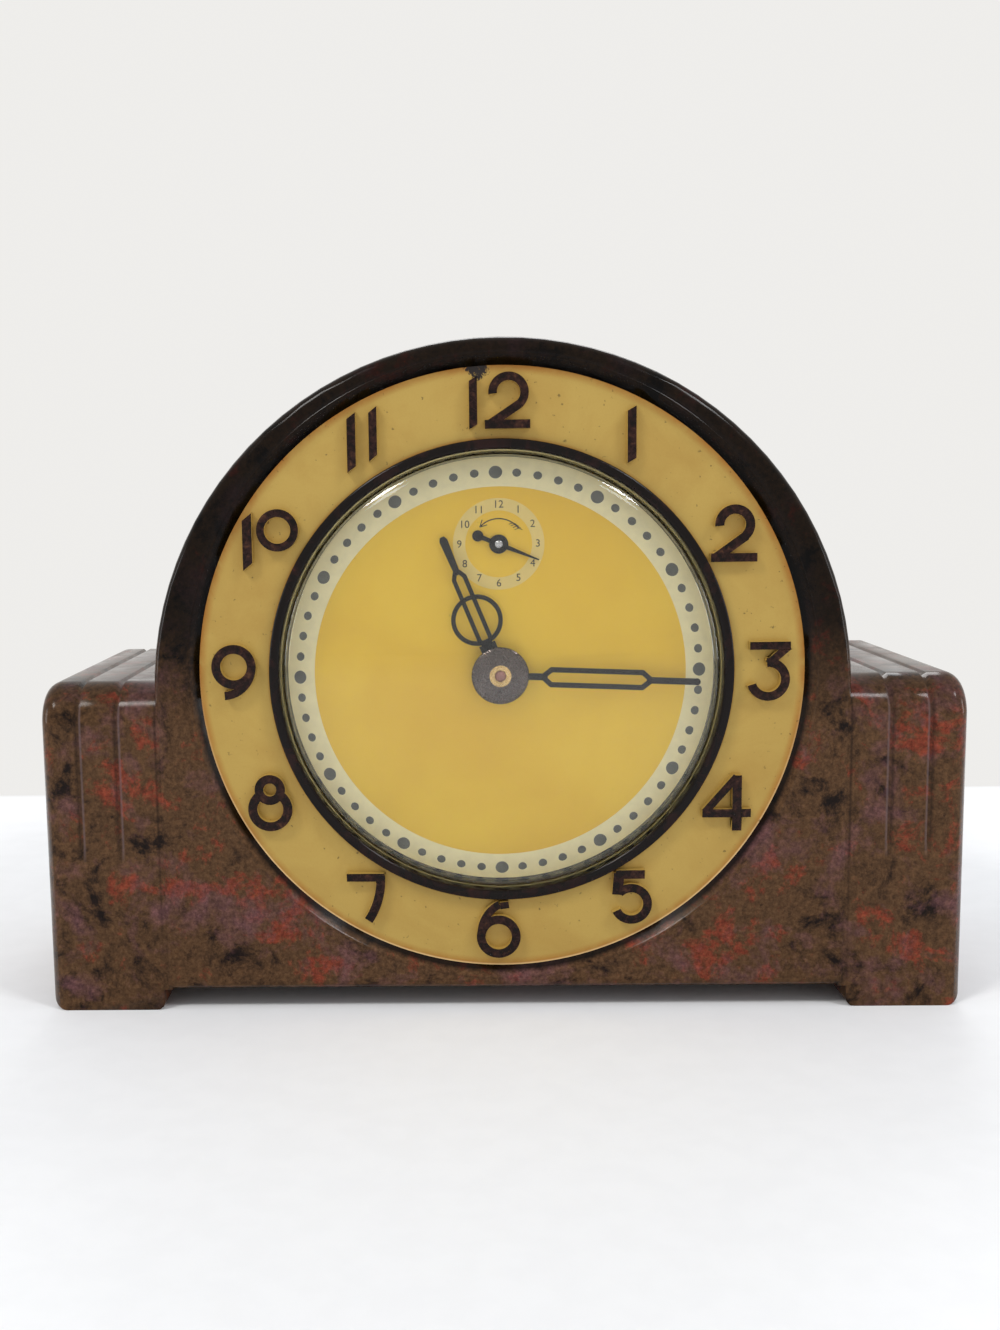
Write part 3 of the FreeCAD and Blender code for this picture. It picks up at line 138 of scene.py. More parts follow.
# Raised hour figures as strokes round their own middle: a bar is (x, z, x, z, width), an arc is
# (x, z, middle radius, width, start, sweep) in degrees, a one is (x, low z, high z, width, slant)
# and a hole is (x, z, radius). The shift is from the hour's even place on the ring.
FIGURES = {
    1: {"shift": (-0.75, 0.5), "ones": [(0.1, -4.5, 4.5, 1.6, 0.45)]},
    2: {"shift": (-0.25, 0.45),
        "bars": [(2.15, -0.35, -3.1, -4.1, 1.6), (-3.9, -4.1, 4.1, -4.1, 1.5)],
        "arcs": [(0.2, 1.6, 2.65, 1.6, 185, -232)]},
    3: {"shift": (-0.3, 0.3),
        "bars": [(-3.2, 4.1, 3.9, 4.1, 1.4), (3.6, 4.0, 0.0, 0.9, 1.4)],
        "arcs": [(0.05, -1.85, 3.0, 1.6, 95, -258)]},
    4: {"shift": (-0.9, 0.0),
        "bars": [(1.7, 4.7, -3.9, -1.7, 1.4), (-4.3, -1.9, 4.3, -1.9, 1.5),
                 (1.8, 4.9, 1.8, -5.1, 1.7)]},
    5: {"shift": (-0.9, 0.4),
        "bars": [(-2.3, 3.9, 2.8, 3.9, 1.6), (-1.8, 4.2, -2.1, 0.2, 1.9)],
        "arcs": [(0.4, -1.5, 2.9, 1.6, 137, -292)]},
    6: {"shift": (-0.85, 0.7),
        "bars": [(0.4, 4.3, 2.0, 4.5, 1.3)],
        "arcs": [(0.1, -1.4, 3.15, 1.65, 0, 360), (3.2, -0.9, 6.2, 1.5, 184, -66)]},
    7: {"shift": (-1.05, 0.4),
        "bars": [(-3.4, 3.7, 3.4, 3.7, 1.5)],
        "arcs": [(-11.0, 3.4, 13.75, 1.7, 3, -37)]},
    8: {"shift": (-0.6, 0.35),
        "arcs": [(0.0, 2.75, 1.95, 1.55, 0, 360), (0.0, -0.8, 3.15, 1.65, 0, 360)],
        "holes": [(0.0, 2.75, 1.15)]},
    9: {"shift": (0.0, 0.0),
        "arcs": [(-0.1, 1.75, 3.15, 1.6, 0, 360), (-2.1, 1.75, 5.15, 1.5, 3, -90)]},
    10: {"shift": (0.0, 0.0),
         "ones": [(-3.35, -4.2, 4.6, 1.75, 0.7)],
         "arcs": [(1.95, 2.15, 3.0, 1.45, 0, 360)]},
    11: {"shift": (0.0, 0.0),
         "ones": [(-2.0, -4.8, 4.5, 1.6, 0.6), (1.75, -2.9, 5.5, 1.5, 0.6)]},
    12: {"shift": (0.0, 0.0),
         "ones": [(-4.4, -4.1, 4.1, 1.4, 0.4)],
         "bars": [(3.6, -0.3, -1.6, -3.7, 1.5), (-2.4, -3.7, 5.4, -3.7, 1.5)],
         "arcs": [(1.7, 1.7, 2.75, 1.45, 185, -232)]},
}


class CaseSettings(bpy.types.PropertyGroup):
    moulding_dark: bpy.props.FloatVectorProperty(
        name="Dark mottling", description="Ground colour of the mottled moulding",
        default=(0.008, 0.004, 0.003), size=3, min=0, max=1, subtype="COLOR")
    moulding_brown: bpy.props.FloatVectorProperty(
        name="Brown mottling", description="Brown between the dark and the red of the moulding",
        default=(0.076, 0.038, 0.017), size=3, min=0, max=1, subtype="COLOR")
    moulding_red: bpy.props.FloatVectorProperty(
        name="Red swirls", description="Colour of the red-brown swirls in the moulding",
        default=(0.17, 0.032, 0.016), size=3, min=0, max=1, subtype="COLOR")
    moulding_plum: bpy.props.FloatVectorProperty(
        name="Plum clouds", description="Colour of the purplish clouds in the moulding",
        default=(0.115, 0.050, 0.052), size=3, min=0, max=1, subtype="COLOR")
    channel_paint: bpy.props.FloatVectorProperty(
        name="Channel paint", description="Gold paint of the figure channel",
        default=(0.46, 0.305, 0.068), size=3, min=0, max=1, subtype="COLOR")
    figure_edge: bpy.props.FloatProperty(
        name="Figure edge", description="Rounding of the raised figures' top edges",
        default=0.00014, min=0, max=0.0005, unit="LENGTH")
    lip_stand: bpy.props.FloatProperty(
        name="Lip stand", description="How far the bead round the glass stands from the front",
        default=0.00015, min=0, max=0.001, unit="LENGTH")


class DialSettings(bpy.types.PropertyGroup):
    gold: bpy.props.FloatVectorProperty(
        name="Dial gold", description="Satin gold of the dial's middle",
        default=(0.88, 0.58, 0.040), size=3, min=0, max=1, subtype="COLOR")
    cream: bpy.props.FloatVectorProperty(
        name="Minute ring", description="Cream of the minute ring",
        default=(1.0, 0.90, 0.53), size=3, min=0, max=1, subtype="COLOR")
    dots: bpy.props.FloatVectorProperty(
        name="Dots", description="Grey of the minute dots",
        default=(0.13, 0.135, 0.115), size=3, min=0, max=1, subtype="COLOR")
    big_dot: bpy.props.FloatProperty(
        name="Big dot", description="Radius of the dot at every fifth minute",
        default=0.0012, min=0.0002, max=0.003, unit="LENGTH")
    small_dot: bpy.props.FloatProperty(
        name="Small dot", description="Radius of the other minute dots",
        default=0.00078, min=0.0002, max=0.003, unit="LENGTH")


class HandSettings(bpy.types.PropertyGroup):
    black: bpy.props.FloatVectorProperty(
        name="Hand black", description="Black of the hands",
        default=(0.010, 0.009, 0.008), size=3, min=0, max=1, subtype="COLOR")
    edge: bpy.props.FloatProperty(
        name="Hand edge", description="Rounding of the hands' edges",
        default=0.00006, min=0, max=0.0002, unit="LENGTH")


class BackSettings(bpy.types.PropertyGroup):
    enamel: bpy.props.FloatVectorProperty(
        name="Cover enamel", description="Dark enamel of the back cover",
        default=(0.035, 0.020, 0.014), size=3, min=0, max=1, subtype="COLOR")
    brass: bpy.props.FloatVectorProperty(
        name="Brass", description="Brass of the keys, knobs and wheels",
        default=(0.72, 0.50, 0.22), size=3, min=0, max=1, subtype="COLOR")


class StudioSettings(bpy.types.PropertyGroup):
    floor: bpy.props.FloatVectorProperty(
        name="Floor", description="Colour of the floor",
        default=(0.86, 0.865, 0.875), size=3, min=0, max=1, subtype="COLOR")
    backdrop: bpy.props.FloatVectorProperty(
        name="Backdrop", description="Colour seen round the clock",
        default=(0.86, 0.85, 0.83), size=3, min=0, max=1, subtype="COLOR")
    lens: bpy.props.FloatProperty(
        name="Lens", description="Focal length of the camera, in millimetres",
        default=37.84, min=10, max=200)


def settings(name):
    return getattr(bpy.context.scene, "clock_" + name)


def at(x, depth, z):
    return Vector((x * MM, FRONT + depth * MM, z * MM))


def polar(centre, radius, degrees):
    """A point round a centre, at an angle counted from the right and upwards."""
    angle = math.radians(degrees)
    return (centre[0] + radius * math.cos(angle), centre[1] + radius * math.sin(angle))


def clock_point(centre, radius, hand_angle):
    """A point at a clock angle, counted clockwise from twelve."""
    return polar(centre, radius, 90 - hand_angle)


# Materials

def material(name):
    """A new material with its node tree, its shader and the place on the object."""
    made = bpy.data.materials.new(name)
    made.use_nodes = True
    tree = made.node_tree
    return made, tree, tree.nodes["Principled BSDF"], place_of(tree)


def node(tree, kind, values=None, **fields):
    made = tree.nodes.new(kind)
    for key, value in fields.items():
        setattr(made, key, value)
    for key, value in (values or {}).items():
        made.inputs[key].default_value = value
    return made


def place_of(tree):
    return node(tree, "ShaderNodeTexCoord").outputs["Object"]


def axes_of(tree, where):
    made = node(tree, "ShaderNodeSeparateXYZ")
    tree.links.new(where, made.inputs["Vector"])
    return made.outputs["X"], made.outputs["Y"], made.outputs["Z"]


def noise(tree, coordinates, scale, detail=4.0, rough=0.5, distortion=0.0):
    made = node(tree, "ShaderNodeTexNoise", {"Scale": scale, "Detail": detail, "Roughness": rough,
                                             "Distortion": distortion})
    tree.links.new(coordinates, made.inputs["Vector"])
    return made.outputs["Fac"]


def ramp(tree, factor, stops):
    """A colour ramp, whose stops hold colours or plain levels."""
    made = node(tree, "ShaderNodeValToRGB")
    band = made.color_ramp
    while len(band.elements) < len(stops):
        band.elements.new(0.5)
    for element, (position, colour) in zip(band.elements, stops):
        element.position = position
        element.color = (*colour, 1.0) if hasattr(colour, "__len__") else (*[colour] * 3, 1.0)
    tree.links.new(factor, made.inputs["Fac"])
    return made.outputs["Color"]


def link_or_set(tree, socket, value):
    if isinstance(value, bpy.types.NodeSocket):
        tree.links.new(value, socket)
    elif hasattr(value, "__len__"):
        socket.default_value = (*value, 1.0)[:4]
    else:
        socket.default_value = value


def blend_colours(tree, factor, first, second, mode="MIX"):
    made = node(tree, "ShaderNodeMix", data_type="RGBA", blend_type=mode)
    sockets = [socket for socket in made.inputs if socket.enabled]
    for socket, value in zip(sockets, (factor, first, second)):
        link_or_set(tree, socket, value)
    return [socket for socket in made.outputs if socket.enabled][0]


def clouded(tree, pattern, low, high, share, first, second):
    """The first colour with a share of the second where a pattern is high."""
    return blend_colours(tree, ramp(tree, pattern, [(low, 0.0), (high, share)]), first, second)


def toned(colour, tone):
    """A colour times one number, or times a number for each channel."""
    tones = tone if isinstance(tone, tuple) else (tone, tone, tone)
    return tuple(min(1.0, level * part) for level, part in zip(colour, tones))


def worked_out(tree, operation, *values):
    """A Math node on sockets or numbers."""
    made = node(tree, "ShaderNodeMath", operation=operation)
    for socket, value in zip(made.inputs, values):
        link_or_set(tree, socket, value)
    return made.outputs["Value"]


def product(tree, first, second):
    return worked_out(tree, "MULTIPLY", first, second)


def spread(tree, value, low, high, to_low, to_high):
    made = node(tree, "ShaderNodeMapRange", {"From Min": low, "From Max": high,
                                             "To Min": to_low, "To Max": to_high}, clamp=True)
    tree.links.new(value, made.inputs["Value"])
    return made.outputs["Result"]


def thin_line(tree, across, place, half, strength):
    """Full strength at one place across the surface, nothing half a width away."""
    off = worked_out(tree, "ABSOLUTE", worked_out(tree, "SUBTRACT", across, place))
    return spread(tree, off, 0.0, half, strength, 0.0)


def length_of(tree, vector):
    made = node(tree, "ShaderNodeVectorMath", operation="LENGTH")
    tree.links.new(vector, made.inputs[0])
    return made.outputs["Value"]


def from_centre(tree, centre):
    """Distance of the shaded point from an axis along Y, in metres."""
    origin = (centre[0] * MM, 0.0, centre[1] * MM)
    moved = node(tree, "ShaderNodeVectorMath", {1: origin}, operation="SUBTRACT")
    tree.links.new(place_of(tree), moved.inputs[0])
    flat = node(tree, "ShaderNodeVectorMath", {1: (1.0, 0.0, 1.0)}, operation="MULTIPLY")
    tree.links.new(moved.outputs["Vector"], flat.inputs[0])
    return length_of(tree, flat.outputs["Vector"])


def dressed(tree, shader, colour, rough, relief, even=None):
    """Links colour, roughness and relief (height, strength, distance), and sets even values."""
    tree.links.new(colour, shader.inputs["Base Color"])
    tree.links.new(rough, shader.inputs["Roughness"])
    height, strength, distance = relief
    bump = node(tree, "ShaderNodeBump", {"Strength": strength, "Distance": distance})
    tree.links.new(height, bump.inputs["Height"])
    tree.links.new(bump.outputs["Normal"], shader.inputs["Normal"])
    for key, value in (even or {}).items():
        shader.inputs[key].default_value = value


def mottled_moulding():
    """Brown, red and plum mottling, with painted shade on the front brow, next to the channel and
    where block meets wing, and a painted highlight and painted shade along each groove.
    """
    made, tree, shader, where = material("mottled_moulding")
    chosen = settings("case")
    swirl = noise(tree, where, 120.0, 10.0, 0.72, 0.3)
    clouds = noise(tree, where, 80.0, 8.0, 0.68, 0.3)
    flecks = noise(tree, where, 1100.0, 6.0, 0.75, 0.1)
    dark = tuple(chosen.moulding_dark)
    brown = tuple(chosen.moulding_brown)
    red = tuple(chosen.moulding_red)
    ground = ramp(tree, swirl, [(0.36, dark), (0.46, brown), (0.54, brown), (0.62, red),
                                (0.74, brown)])
    mixed = clouded(tree, clouds, 0.51, 0.66, 0.85, ground, tuple(chosen.moulding_plum))
    mottle = ramp(tree, flecks, [(0.32, 0.45), (0.50, 1.0), (0.68, 1.7)])
    mottled = blend_colours(tree, 1.0, mixed, mottle, "MULTIPLY")

    x, y, z = axes_of(tree, where)
    # Painted shade: the front of the brow, high on the arch, is darkened.
    brow = worked_out(tree, "MAXIMUM", spread(tree, z, *BROW_RISE, 1.0, 0.10),
                      spread(tree, y, *BROW_DEPTH, 0.10, 0.85))
    # Painted shade: darkened on the slope just outside the channel's gold floor.
    painted_rim_shade = spread(tree, from_centre(tree, RING), (FLOOR_RADIUS + 0.5) * MM,
                       (FLOOR_RADIUS + 1.2) * MM, 0.12, 1.0)
    # The two painted shades, on the brow and by the rim, darken the mottled colour together.
    level = product(tree, brow, painted_rim_shade)
    shade = node(tree, "ShaderNodeCombineColor")
    for channel in ("Red", "Green", "Blue"):
        tree.links.new(level, shade.inputs[channel])
    shaded = blend_colours(tree, 1.0, mottled, shade.outputs["Color"], "MULTIPLY")

    across = worked_out(tree, "ABSOLUTE", x)
    front = spread(tree, y, *FRONT_BAND, 1.0, 0.0)
    grooved = product(tree, front, spread(tree, z, *FLUTE_FOOT, 0.0, 1.0))
    for place in FLUTES:
        # Painted highlight: a pale line along the inner side of each groove on the wings' front.
        painted_groove_highlight = thin_line(tree, across, (place - 0.38) * MM, 0.00042, 0.75)
        shaded = blend_colours(tree, product(tree, painted_groove_highlight, grooved), shaded,
                               (0.20, 0.145, 0.15))
        # Painted shade: a dark line along the outer side of each groove on the wings' front.
        painted_groove_shade = thin_line(tree, across, (place + 0.38) * MM, 0.00045, 0.9)
        shaded = blend_colours(tree, product(tree, painted_groove_shade, grooved), shaded, dark)
    # Painted shade: a dark line where the middle block meets each wing, fainter towards the
    # bottom.
    painted_seam_shade = product(tree, thin_line(tree, across, BLOCK_HALF * MM, 0.0004, 1.0), front)
    painted_seam_shade = product(tree, painted_seam_shade, spread(tree, z, *SEAM_RISE, 0.35, 1.0))
    colour = blend_colours(tree, painted_seam_shade, shaded, dark)

    wear = noise(tree, where, 160.0, 3.0, 0.5, 0.0)
    waves = noise(tree, where, 240.0, 3.0, 0.5, 0.0)
    dressed(tree, shader, colour, spread(tree, wear, 0.35, 0.7, 0.10, 0.24),
            (waves, 0.035, 0.0004), {"Specular IOR Level": 0.10, "IOR": 1.5})
    return made


def lip_black():
    """The darkest run of the moulding, worn smooth and glossy by handling."""
    made, tree, shader, where = material("lip_black")
    swirl = noise(tree, where, 170.0, 6.0, 0.65, 0.8)
    colour = ramp(tree, swirl, [(0.50, (0.005, 0.003, 0.0025)), (0.64, (0.018, 0.006, 0.005)),
                                (0.74, (0.075, 0.014, 0.010))])
    waves = noise(tree, where, 240.0, 3.0, 0.5, 0.0)
    dressed(tree, shader, colour, spread(tree, swirl, 0.35, 0.7, 0.10, 0.20),
            (waves, 0.03, 0.0003), {"Specular IOR Level": 0.15})
    return made


def figure_brown():
    """Dark moulding, worn lighter in spots on the figures' tops."""
    made, tree, shader, where = material("figure_brown")
    worn = noise(tree, where, 900.0, 4.0, 0.6, 0.4)
    colour = ramp(tree, worn, [(0.38, (0.005, 0.0025, 0.002)), (0.60, (0.024, 0.008, 0.006)),
                               (0.74, (0.085, 0.036, 0.018))])
    dressed(tree, shader, colour, spread(tree, worn, 0.3, 0.7, 0.18, 0.36),
            (worn, 0.10, 0.0002), {"Specular IOR Level": 0.15})
    return made


def channel_gold():
    """Aged gold paint, rusty at the channel's edges, with specks, a chipped spot and a painted
    highlight along the lower part of its outer edge.
    """
    made, tree, shader, where = material("channel_gold")
    paint = tuple(settings("case").channel_paint)
    rust = toned(paint, (0.80, 0.44, 0.12))
    clouds = noise(tree, where, 70.0, 5.0, 0.6, 0.6)
    base = clouded(tree, clouds, 0.42, 0.75, 0.55, paint, toned(paint, (0.78, 0.66, 0.50)))

    radius = from_centre(tree, RING)
    rim = worked_out(
        tree, "MAXIMUM",
        spread(tree, radius, (FLOOR_RADIUS - 1.5) * MM, FLOOR_RADIUS * MM, 0.0, 1.0),
        spread(tree, radius, (LIP_RADIUS + 0.7) * MM, LIP_RADIUS * MM, 0.0, 0.9))
    patches = ramp(tree, noise(tree, where, 220.0, 5.0, 0.65, 0.5), [(0.30, 0.35), (0.55, 1.0)])
    edged = blend_colours(tree, product(tree, rim, patches), base, rust)
    z = axes_of(tree, where)[2]
    # Painted highlight: a pale line along the outer edge of the gold floor, on the lower part of
    # the channel only.
    painted_edge_highlight = product(tree, thin_line(tree, radius, (FLOOR_RADIUS - 0.12) * MM, 0.0003, 0.9),
                     spread(tree, z, 0.030, 0.062, 1.0, 0.0))
    edged = blend_colours(tree, painted_edge_highlight, edged, (0.86, 0.60, 0.28))

    specks = ramp(tree, noise(tree, where, 1100.0, 2.0, 0.5, 0.0), [(0.24, 0.45), (0.30, 1.0)])
    speckled = blend_colours(tree, 1.0, edged, specks, "MULTIPLY")
    near_chip = spread(tree, from_centre(tree, CHIP), 0.001, 0.0054, 1.0, 0.0)
    chipped = product(tree, near_chip, noise(tree, where, 1000.0, 6.0, 0.75, 0.8))
    colour = clouded(tree, chipped, 0.36, 0.40, 1.0, speckled, (0.010, 0.005, 0.004))

    grain = noise(tree, where, 2600.0, 2.0, 0.5, 0.0)
    dressed(tree, shader, colour, spread(tree, grain, 0.3, 0.7, 0.42, 0.60),
            (grain, 0.16, 0.00008), {"Metallic": 0.25})
    return made


def dial_gold():
    made, tree, shader, where = material("dial_gold")
    gold = tuple(settings("dial").gold)
    clouds = noise(tree, where, 38.0, 4.0, 0.55, 0.5)
    base = clouded(tree, clouds, 0.40, 0.68, 0.7, gold, toned(gold, (0.90, 0.82, 0.66)))
    specks = ramp(tree, noise(tree, where, 1500.0, 2.0, 0.5, 0.0), [(0.24, 0.6), (0.30, 1.0)])
    colour = blend_colours(tree, 1.0, base, specks, "MULTIPLY")
    grain = noise(tree, where, 3200.0, 2.0, 0.5, 0.0)
    dressed(tree, shader, colour, spread(tree, grain, 0.3, 0.7, 0.36, 0.50),
            (grain, 0.10, 0.00006), {"Metallic": 0.30})
    return made


def printed(name, colour, depth, rough, gloss=0.5):
    """Printed ink or paint with a little cloudiness."""
    made, tree, shader, where = material(name)
    clouds = noise(tree, where, 420.0, 4.0, 0.6, 0.2)
    dressed(tree, shader,
            clouded(tree, clouds, 0.40, 0.66, 1.0, tuple(colour), toned(colour, depth)),
            spread(tree, clouds, 0.3, 0.7, rough - 0.06, rough + 0.06),
            (clouds, 0.06, 0.00005), {"Specular IOR Level": gloss})
    return made


def turned_metal(name, colour, rough):
    """Metal with fine turning marks and a cloudy tarnish."""
    made, tree, shader, where = material(name)
    clouds = noise(tree, where, 260.0, 4.0, 0.6, 0.4)
    marks = noise(tree, where, 2200.0, 2.0, 0.5, 0.0)
    dressed(tree, shader,
            clouded(tree, clouds, 0.38, 0.70, 1.0, tuple(colour), toned(colour, 0.72)),
            spread(tree, marks, 0.3, 0.7, rough - 0.05, rough + 0.07),
            (marks, 0.08, 0.00006), {"Metallic": 1.0})
    return made


def enamel(name, colour):
    """Sprayed enamel with a light orange peel."""
    made, tree, shader, where = material(name)
    peel = noise(tree, where, 700.0, 3.0, 0.5, 0.0)
    worn = noise(tree, where, 60.0, 5.0, 0.6, 0.4)
    dressed(tree, shader,
            clouded(tree, worn, 0.42, 0.72, 0.7, tuple(colour), toned(colour, 1.7)),
            spread(tree, peel, 0.3, 0.7, 0.26, 0.40), (peel, 0.22, 0.00015))
    return made


def clear_glass():
    made, tree, shader, where = material("clear_glass")
    haze = noise(tree, where, 90.0, 3.0, 0.5, 0.0)
    tree.links.new(spread(tree, haze, 0.3, 0.8, 0.0, 0.03), shader.inputs["Roughness"])
    for key, value in {"Base Color": (1.0, 1.0, 0.99, 1.0), "Transmission Weight": 1.0,
                       "Specular IOR Level": 0.35, "IOR": 1.4}.items():
        shader.inputs[key].default_value = value
    return made


FINISHES = {}


def finish_named(name):
    """The finish of that name, made when a piece first asks for it."""
    makers = {
        "moulding": mottled_moulding,
        "figure_brown": figure_brown,
        "lip_black": lip_black,
        "channel_gold": channel_gold,
        "dial_gold": dial_gold,
        "dial_cream": lambda: printed("dial_cream", settings("dial").cream, 0.93, 0.50),
        "sub_dial_pale": lambda: printed("sub_dial_pale", (0.84, 0.64, 0.21), 0.95, 0.50),
        "dot_grey": lambda: printed("dot_grey", settings("dial").dots, 0.7, 0.50),
        "ink": lambda: printed("ink", (0.020, 0.016, 0.012), 0.7, 0.5),
        "hand_black": lambda: printed("hand_black", settings("hands").black, 0.6, 0.34, 0.15),
        "hub_metal": lambda: turned_metal("hub_metal", (0.115, 0.095, 0.088), 0.27),
        "hub_pink": lambda: turned_metal("hub_pink", (0.42, 0.22, 0.19), 0.38),
        "brass": lambda: turned_metal("brass", settings("back").brass, 0.26),
        "steel": lambda: turned_metal("steel", (0.50, 0.50, 0.51), 0.26),
        "spring_blue": lambda: turned_metal("spring_blue", (0.10, 0.12, 0.18), 0.30),
        "cover_paint": lambda: enamel("cover_paint", settings("back").enamel),
        "glass": clear_glass,
    }
    if name not in FINISHES:
        FINISHES[name] = makers[name]()
    return FINISHES[name]


# Mesh helpers: a sheet is flat in the plane y = 0, in millimetres, until it is put in place

def swept_round(bm, verts, edges, centre, axis, steps):
    """Turns a line of edges once round an axis."""
    bmesh.ops.spin(bm, geom=verts + edges, cent=centre, axis=axis, dvec=(0, 0, 0),
                   angle=math.tau, steps=steps, use_merge=True, use_duplicate=False)


def spun(bm, profile, centre, steps, closed=True):
    """Turns (radius, depth) points about an axis along Y."""
    verts = [bm.verts.new(at(centre[0] + radius, depth, centre[1])) for radius, depth in profile]
    edges = [bm.edges.new(pair) for pair in zip(verts, verts[1:])]
    if closed:
        edges.append(bm.edges.new((verts[-1], verts[0])))
    swept_round(bm, verts, edges, at(centre[0], 0, centre[1]), (0, 1, 0), steps)


def turned(profile, centre, steps, closed=True):
    """A new bmesh with one turned shape."""
    bm = bmesh.new()
    spun(bm, profile, centre, steps, closed)
    return bm


def flat_ring(inner, outer, front, back):
    """The profile of a flat ring."""
    return [(inner, front), (outer, front), (outer, back), (inner, back)]


def sheet_bar(bm, x0, z0, x1, z1, width):
    """A flat bar from one point to another."""
    size = Matrix.Diagonal((math.hypot(x1 - x0, z1 - z0), width, 1, 1))
    turn = Matrix.Rotation(math.atan2(z1 - z0, x1 - x0), 4, "Z")
    upright = Matrix.Rotation(math.pi / 2, 4, "X")
    spot = Matrix.Translation(((x0 + x1) / 2, 0, (z0 + z1) / 2))
    bmesh.ops.create_grid(bm, x_segments=1, y_segments=1, size=0.5,
                          matrix=spot @ upright @ turn @ size)


def sheet_arc(bm, x, z, radius, width, start, sweep, steps=0):
    """A flat arc, spun from one edge, in steps of about 8 degrees where none are given."""
    ends = [bm.verts.new((tip[0], 0, tip[1])) for tip in (
        polar((x, z), radius - width / 2, start), polar((x, z), radius + width / 2, start))]
    edge = bm.edges.new(ends)
    bmesh.ops.spin(bm, geom=ends + [edge], cent=(x, 0, z), axis=(0, -1, 0), dvec=(0, 0, 0),
                   angle=math.radians(sweep), steps=steps or max(12, int(abs(sweep) / 8)),
                   use_merge=abs(sweep) >= 360, use_duplicate=False)


def sheet_disc(bm, x, z, radius, segments=40):
    spot = Matrix.Translation((x, 0, z)) @ Matrix.Rotation(math.pi / 2, 4, "X")
    bmesh.ops.create_circle(bm, cap_ends=True, radius=radius, segments=segments, matrix=spot)


def sheet_outline(bm, points):
    face = bm.faces.new([bm.verts.new((x, 0, z)) for x, z in points])
    face.normal_update()
    return face


def sheet_one(bm, x, low, high, width, slant):
    """The figure one: an upright bar whose ends slant up to the right."""
    left, right = x - width / 2, x + width / 2
    sheet_outline(bm, [(left, low - slant), (right, low + slant), (right, high + slant),
                       (left, high - slant)])


def extruded(bm, vec):
    """Pulls the flat faces out along a vector, into a closed solid."""
    grown = bmesh.ops.extrude_face_region(bm, geom=list(bm.faces), use_keep_orig=True)["geom"]
    moved = [part for part in grown if isinstance(part, bmesh.types.BMVert)]
    bmesh.ops.translate(bm, verts=moved, vec=vec)


def closed_up(bm, distance):
    """Merges doubles and turns the faces outwards."""
    bmesh.ops.remove_doubles(bm, verts=bm.verts, dist=distance)
    bmesh.ops.recalc_face_normals(bm, faces=bm.faces)


def bevelled(bm, edges, offset):
    bmesh.ops.bevel(bm, geom=edges, offset=offset, segments=2, profile=0.5, affect="EDGES",
                    material=-1, clamp_overlap=True)


def front_rounded(bm, edge):
    """Rounds the sharp edges in the plane y = 0."""
    bevelled(bm, [each for each in bm.edges if each.calc_face_angle(0.0) > 1.0
                  and all(abs(vert.co.y) < 1e-4 for vert in each.verts)], edge)


def put_in_place(bm, centre, depth, turn=0.0):
    """Takes a shape from its own millimetres to its place on the clock."""
    turning = Matrix.Rotation(math.radians(turn), 4, "Y")
    place = Matrix.Translation(at(centre[0], depth, centre[1])) @ Matrix.Scale(MM, 4) @ turning
    bmesh.ops.transform(bm, matrix=place, verts=bm.verts)


def thickened(bm, front, back, edge=0.0, centre=(0.0, 0.0), turn=0.0):
    """Gives a sheet its thickness from front to back depth, rounds its front and places it."""
    extruded(bm, (0, back - front, 0))
    closed_up(bm, 1e-5)
    if edge > 0:
        front_rounded(bm, edge)
    put_in_place(bm, centre, front, turn)


def plain_mesh(bm, name):
    mesh = bpy.data.meshes.new(name)
    bm.to_mesh(mesh)
    bm.free()
    return mesh


def as_mesh(bm, name):
    closed_up(bm, 1e-7)
    return plain_mesh(bm, name)


def take_in(bm, mesh):
    """Adds a mesh to a bmesh and deletes the mesh."""
    bm.from_mesh(mesh)
    bpy.data.meshes.remove(mesh)


def evaluated(holder):
    """The finished mesh of an object that has modifiers or text."""
    bpy.context.view_layer.update()
    depsgraph = bpy.context.evaluated_depsgraph_get()
    return bpy.data.meshes.new_from_object(holder.evaluated_get(depsgraph))


def linked(name, data):
    made = bpy.data.objects.new(name, data)
    bpy.context.scene.collection.objects.link(made)
    return made


def piece(name, bm, finish, body, stands_for=(), angle=35.0, even=False):
    """Links a finished mesh as a piece that rides on a body of the clock."""
    mesh = as_mesh(bm, name)
    if not mesh.polygons:
        raise RuntimeError(name + " has no faces")
    mesh.shade_smooth()
    mesh.set_sharp_from_angle(angle=math.radians(angle))
    for each in [finish] if isinstance(finish, str) else finish:
        mesh.materials.append(finish_named(each))
    made = linked(name, mesh)
    if even:
        weighted = made.modifiers.new("Even shading", "WEIGHTED_NORMAL")
        weighted.keep_sharp = True
    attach(made, body)
    if stands_for:
        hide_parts(*stands_for)


def cad_copy(name):
    """A merged copy of a CAD node's mesh."""
    bm = bmesh.new()
    bm.from_mesh(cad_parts[name].data)
    bmesh.ops.remove_doubles(bm, verts=bm.verts, dist=1e-6)
    return bm


# Case

def build_case():
    piece("moulded_case", cad_copy("case"), "moulding", "frame", ("case",),
          angle=34.0, even=True)


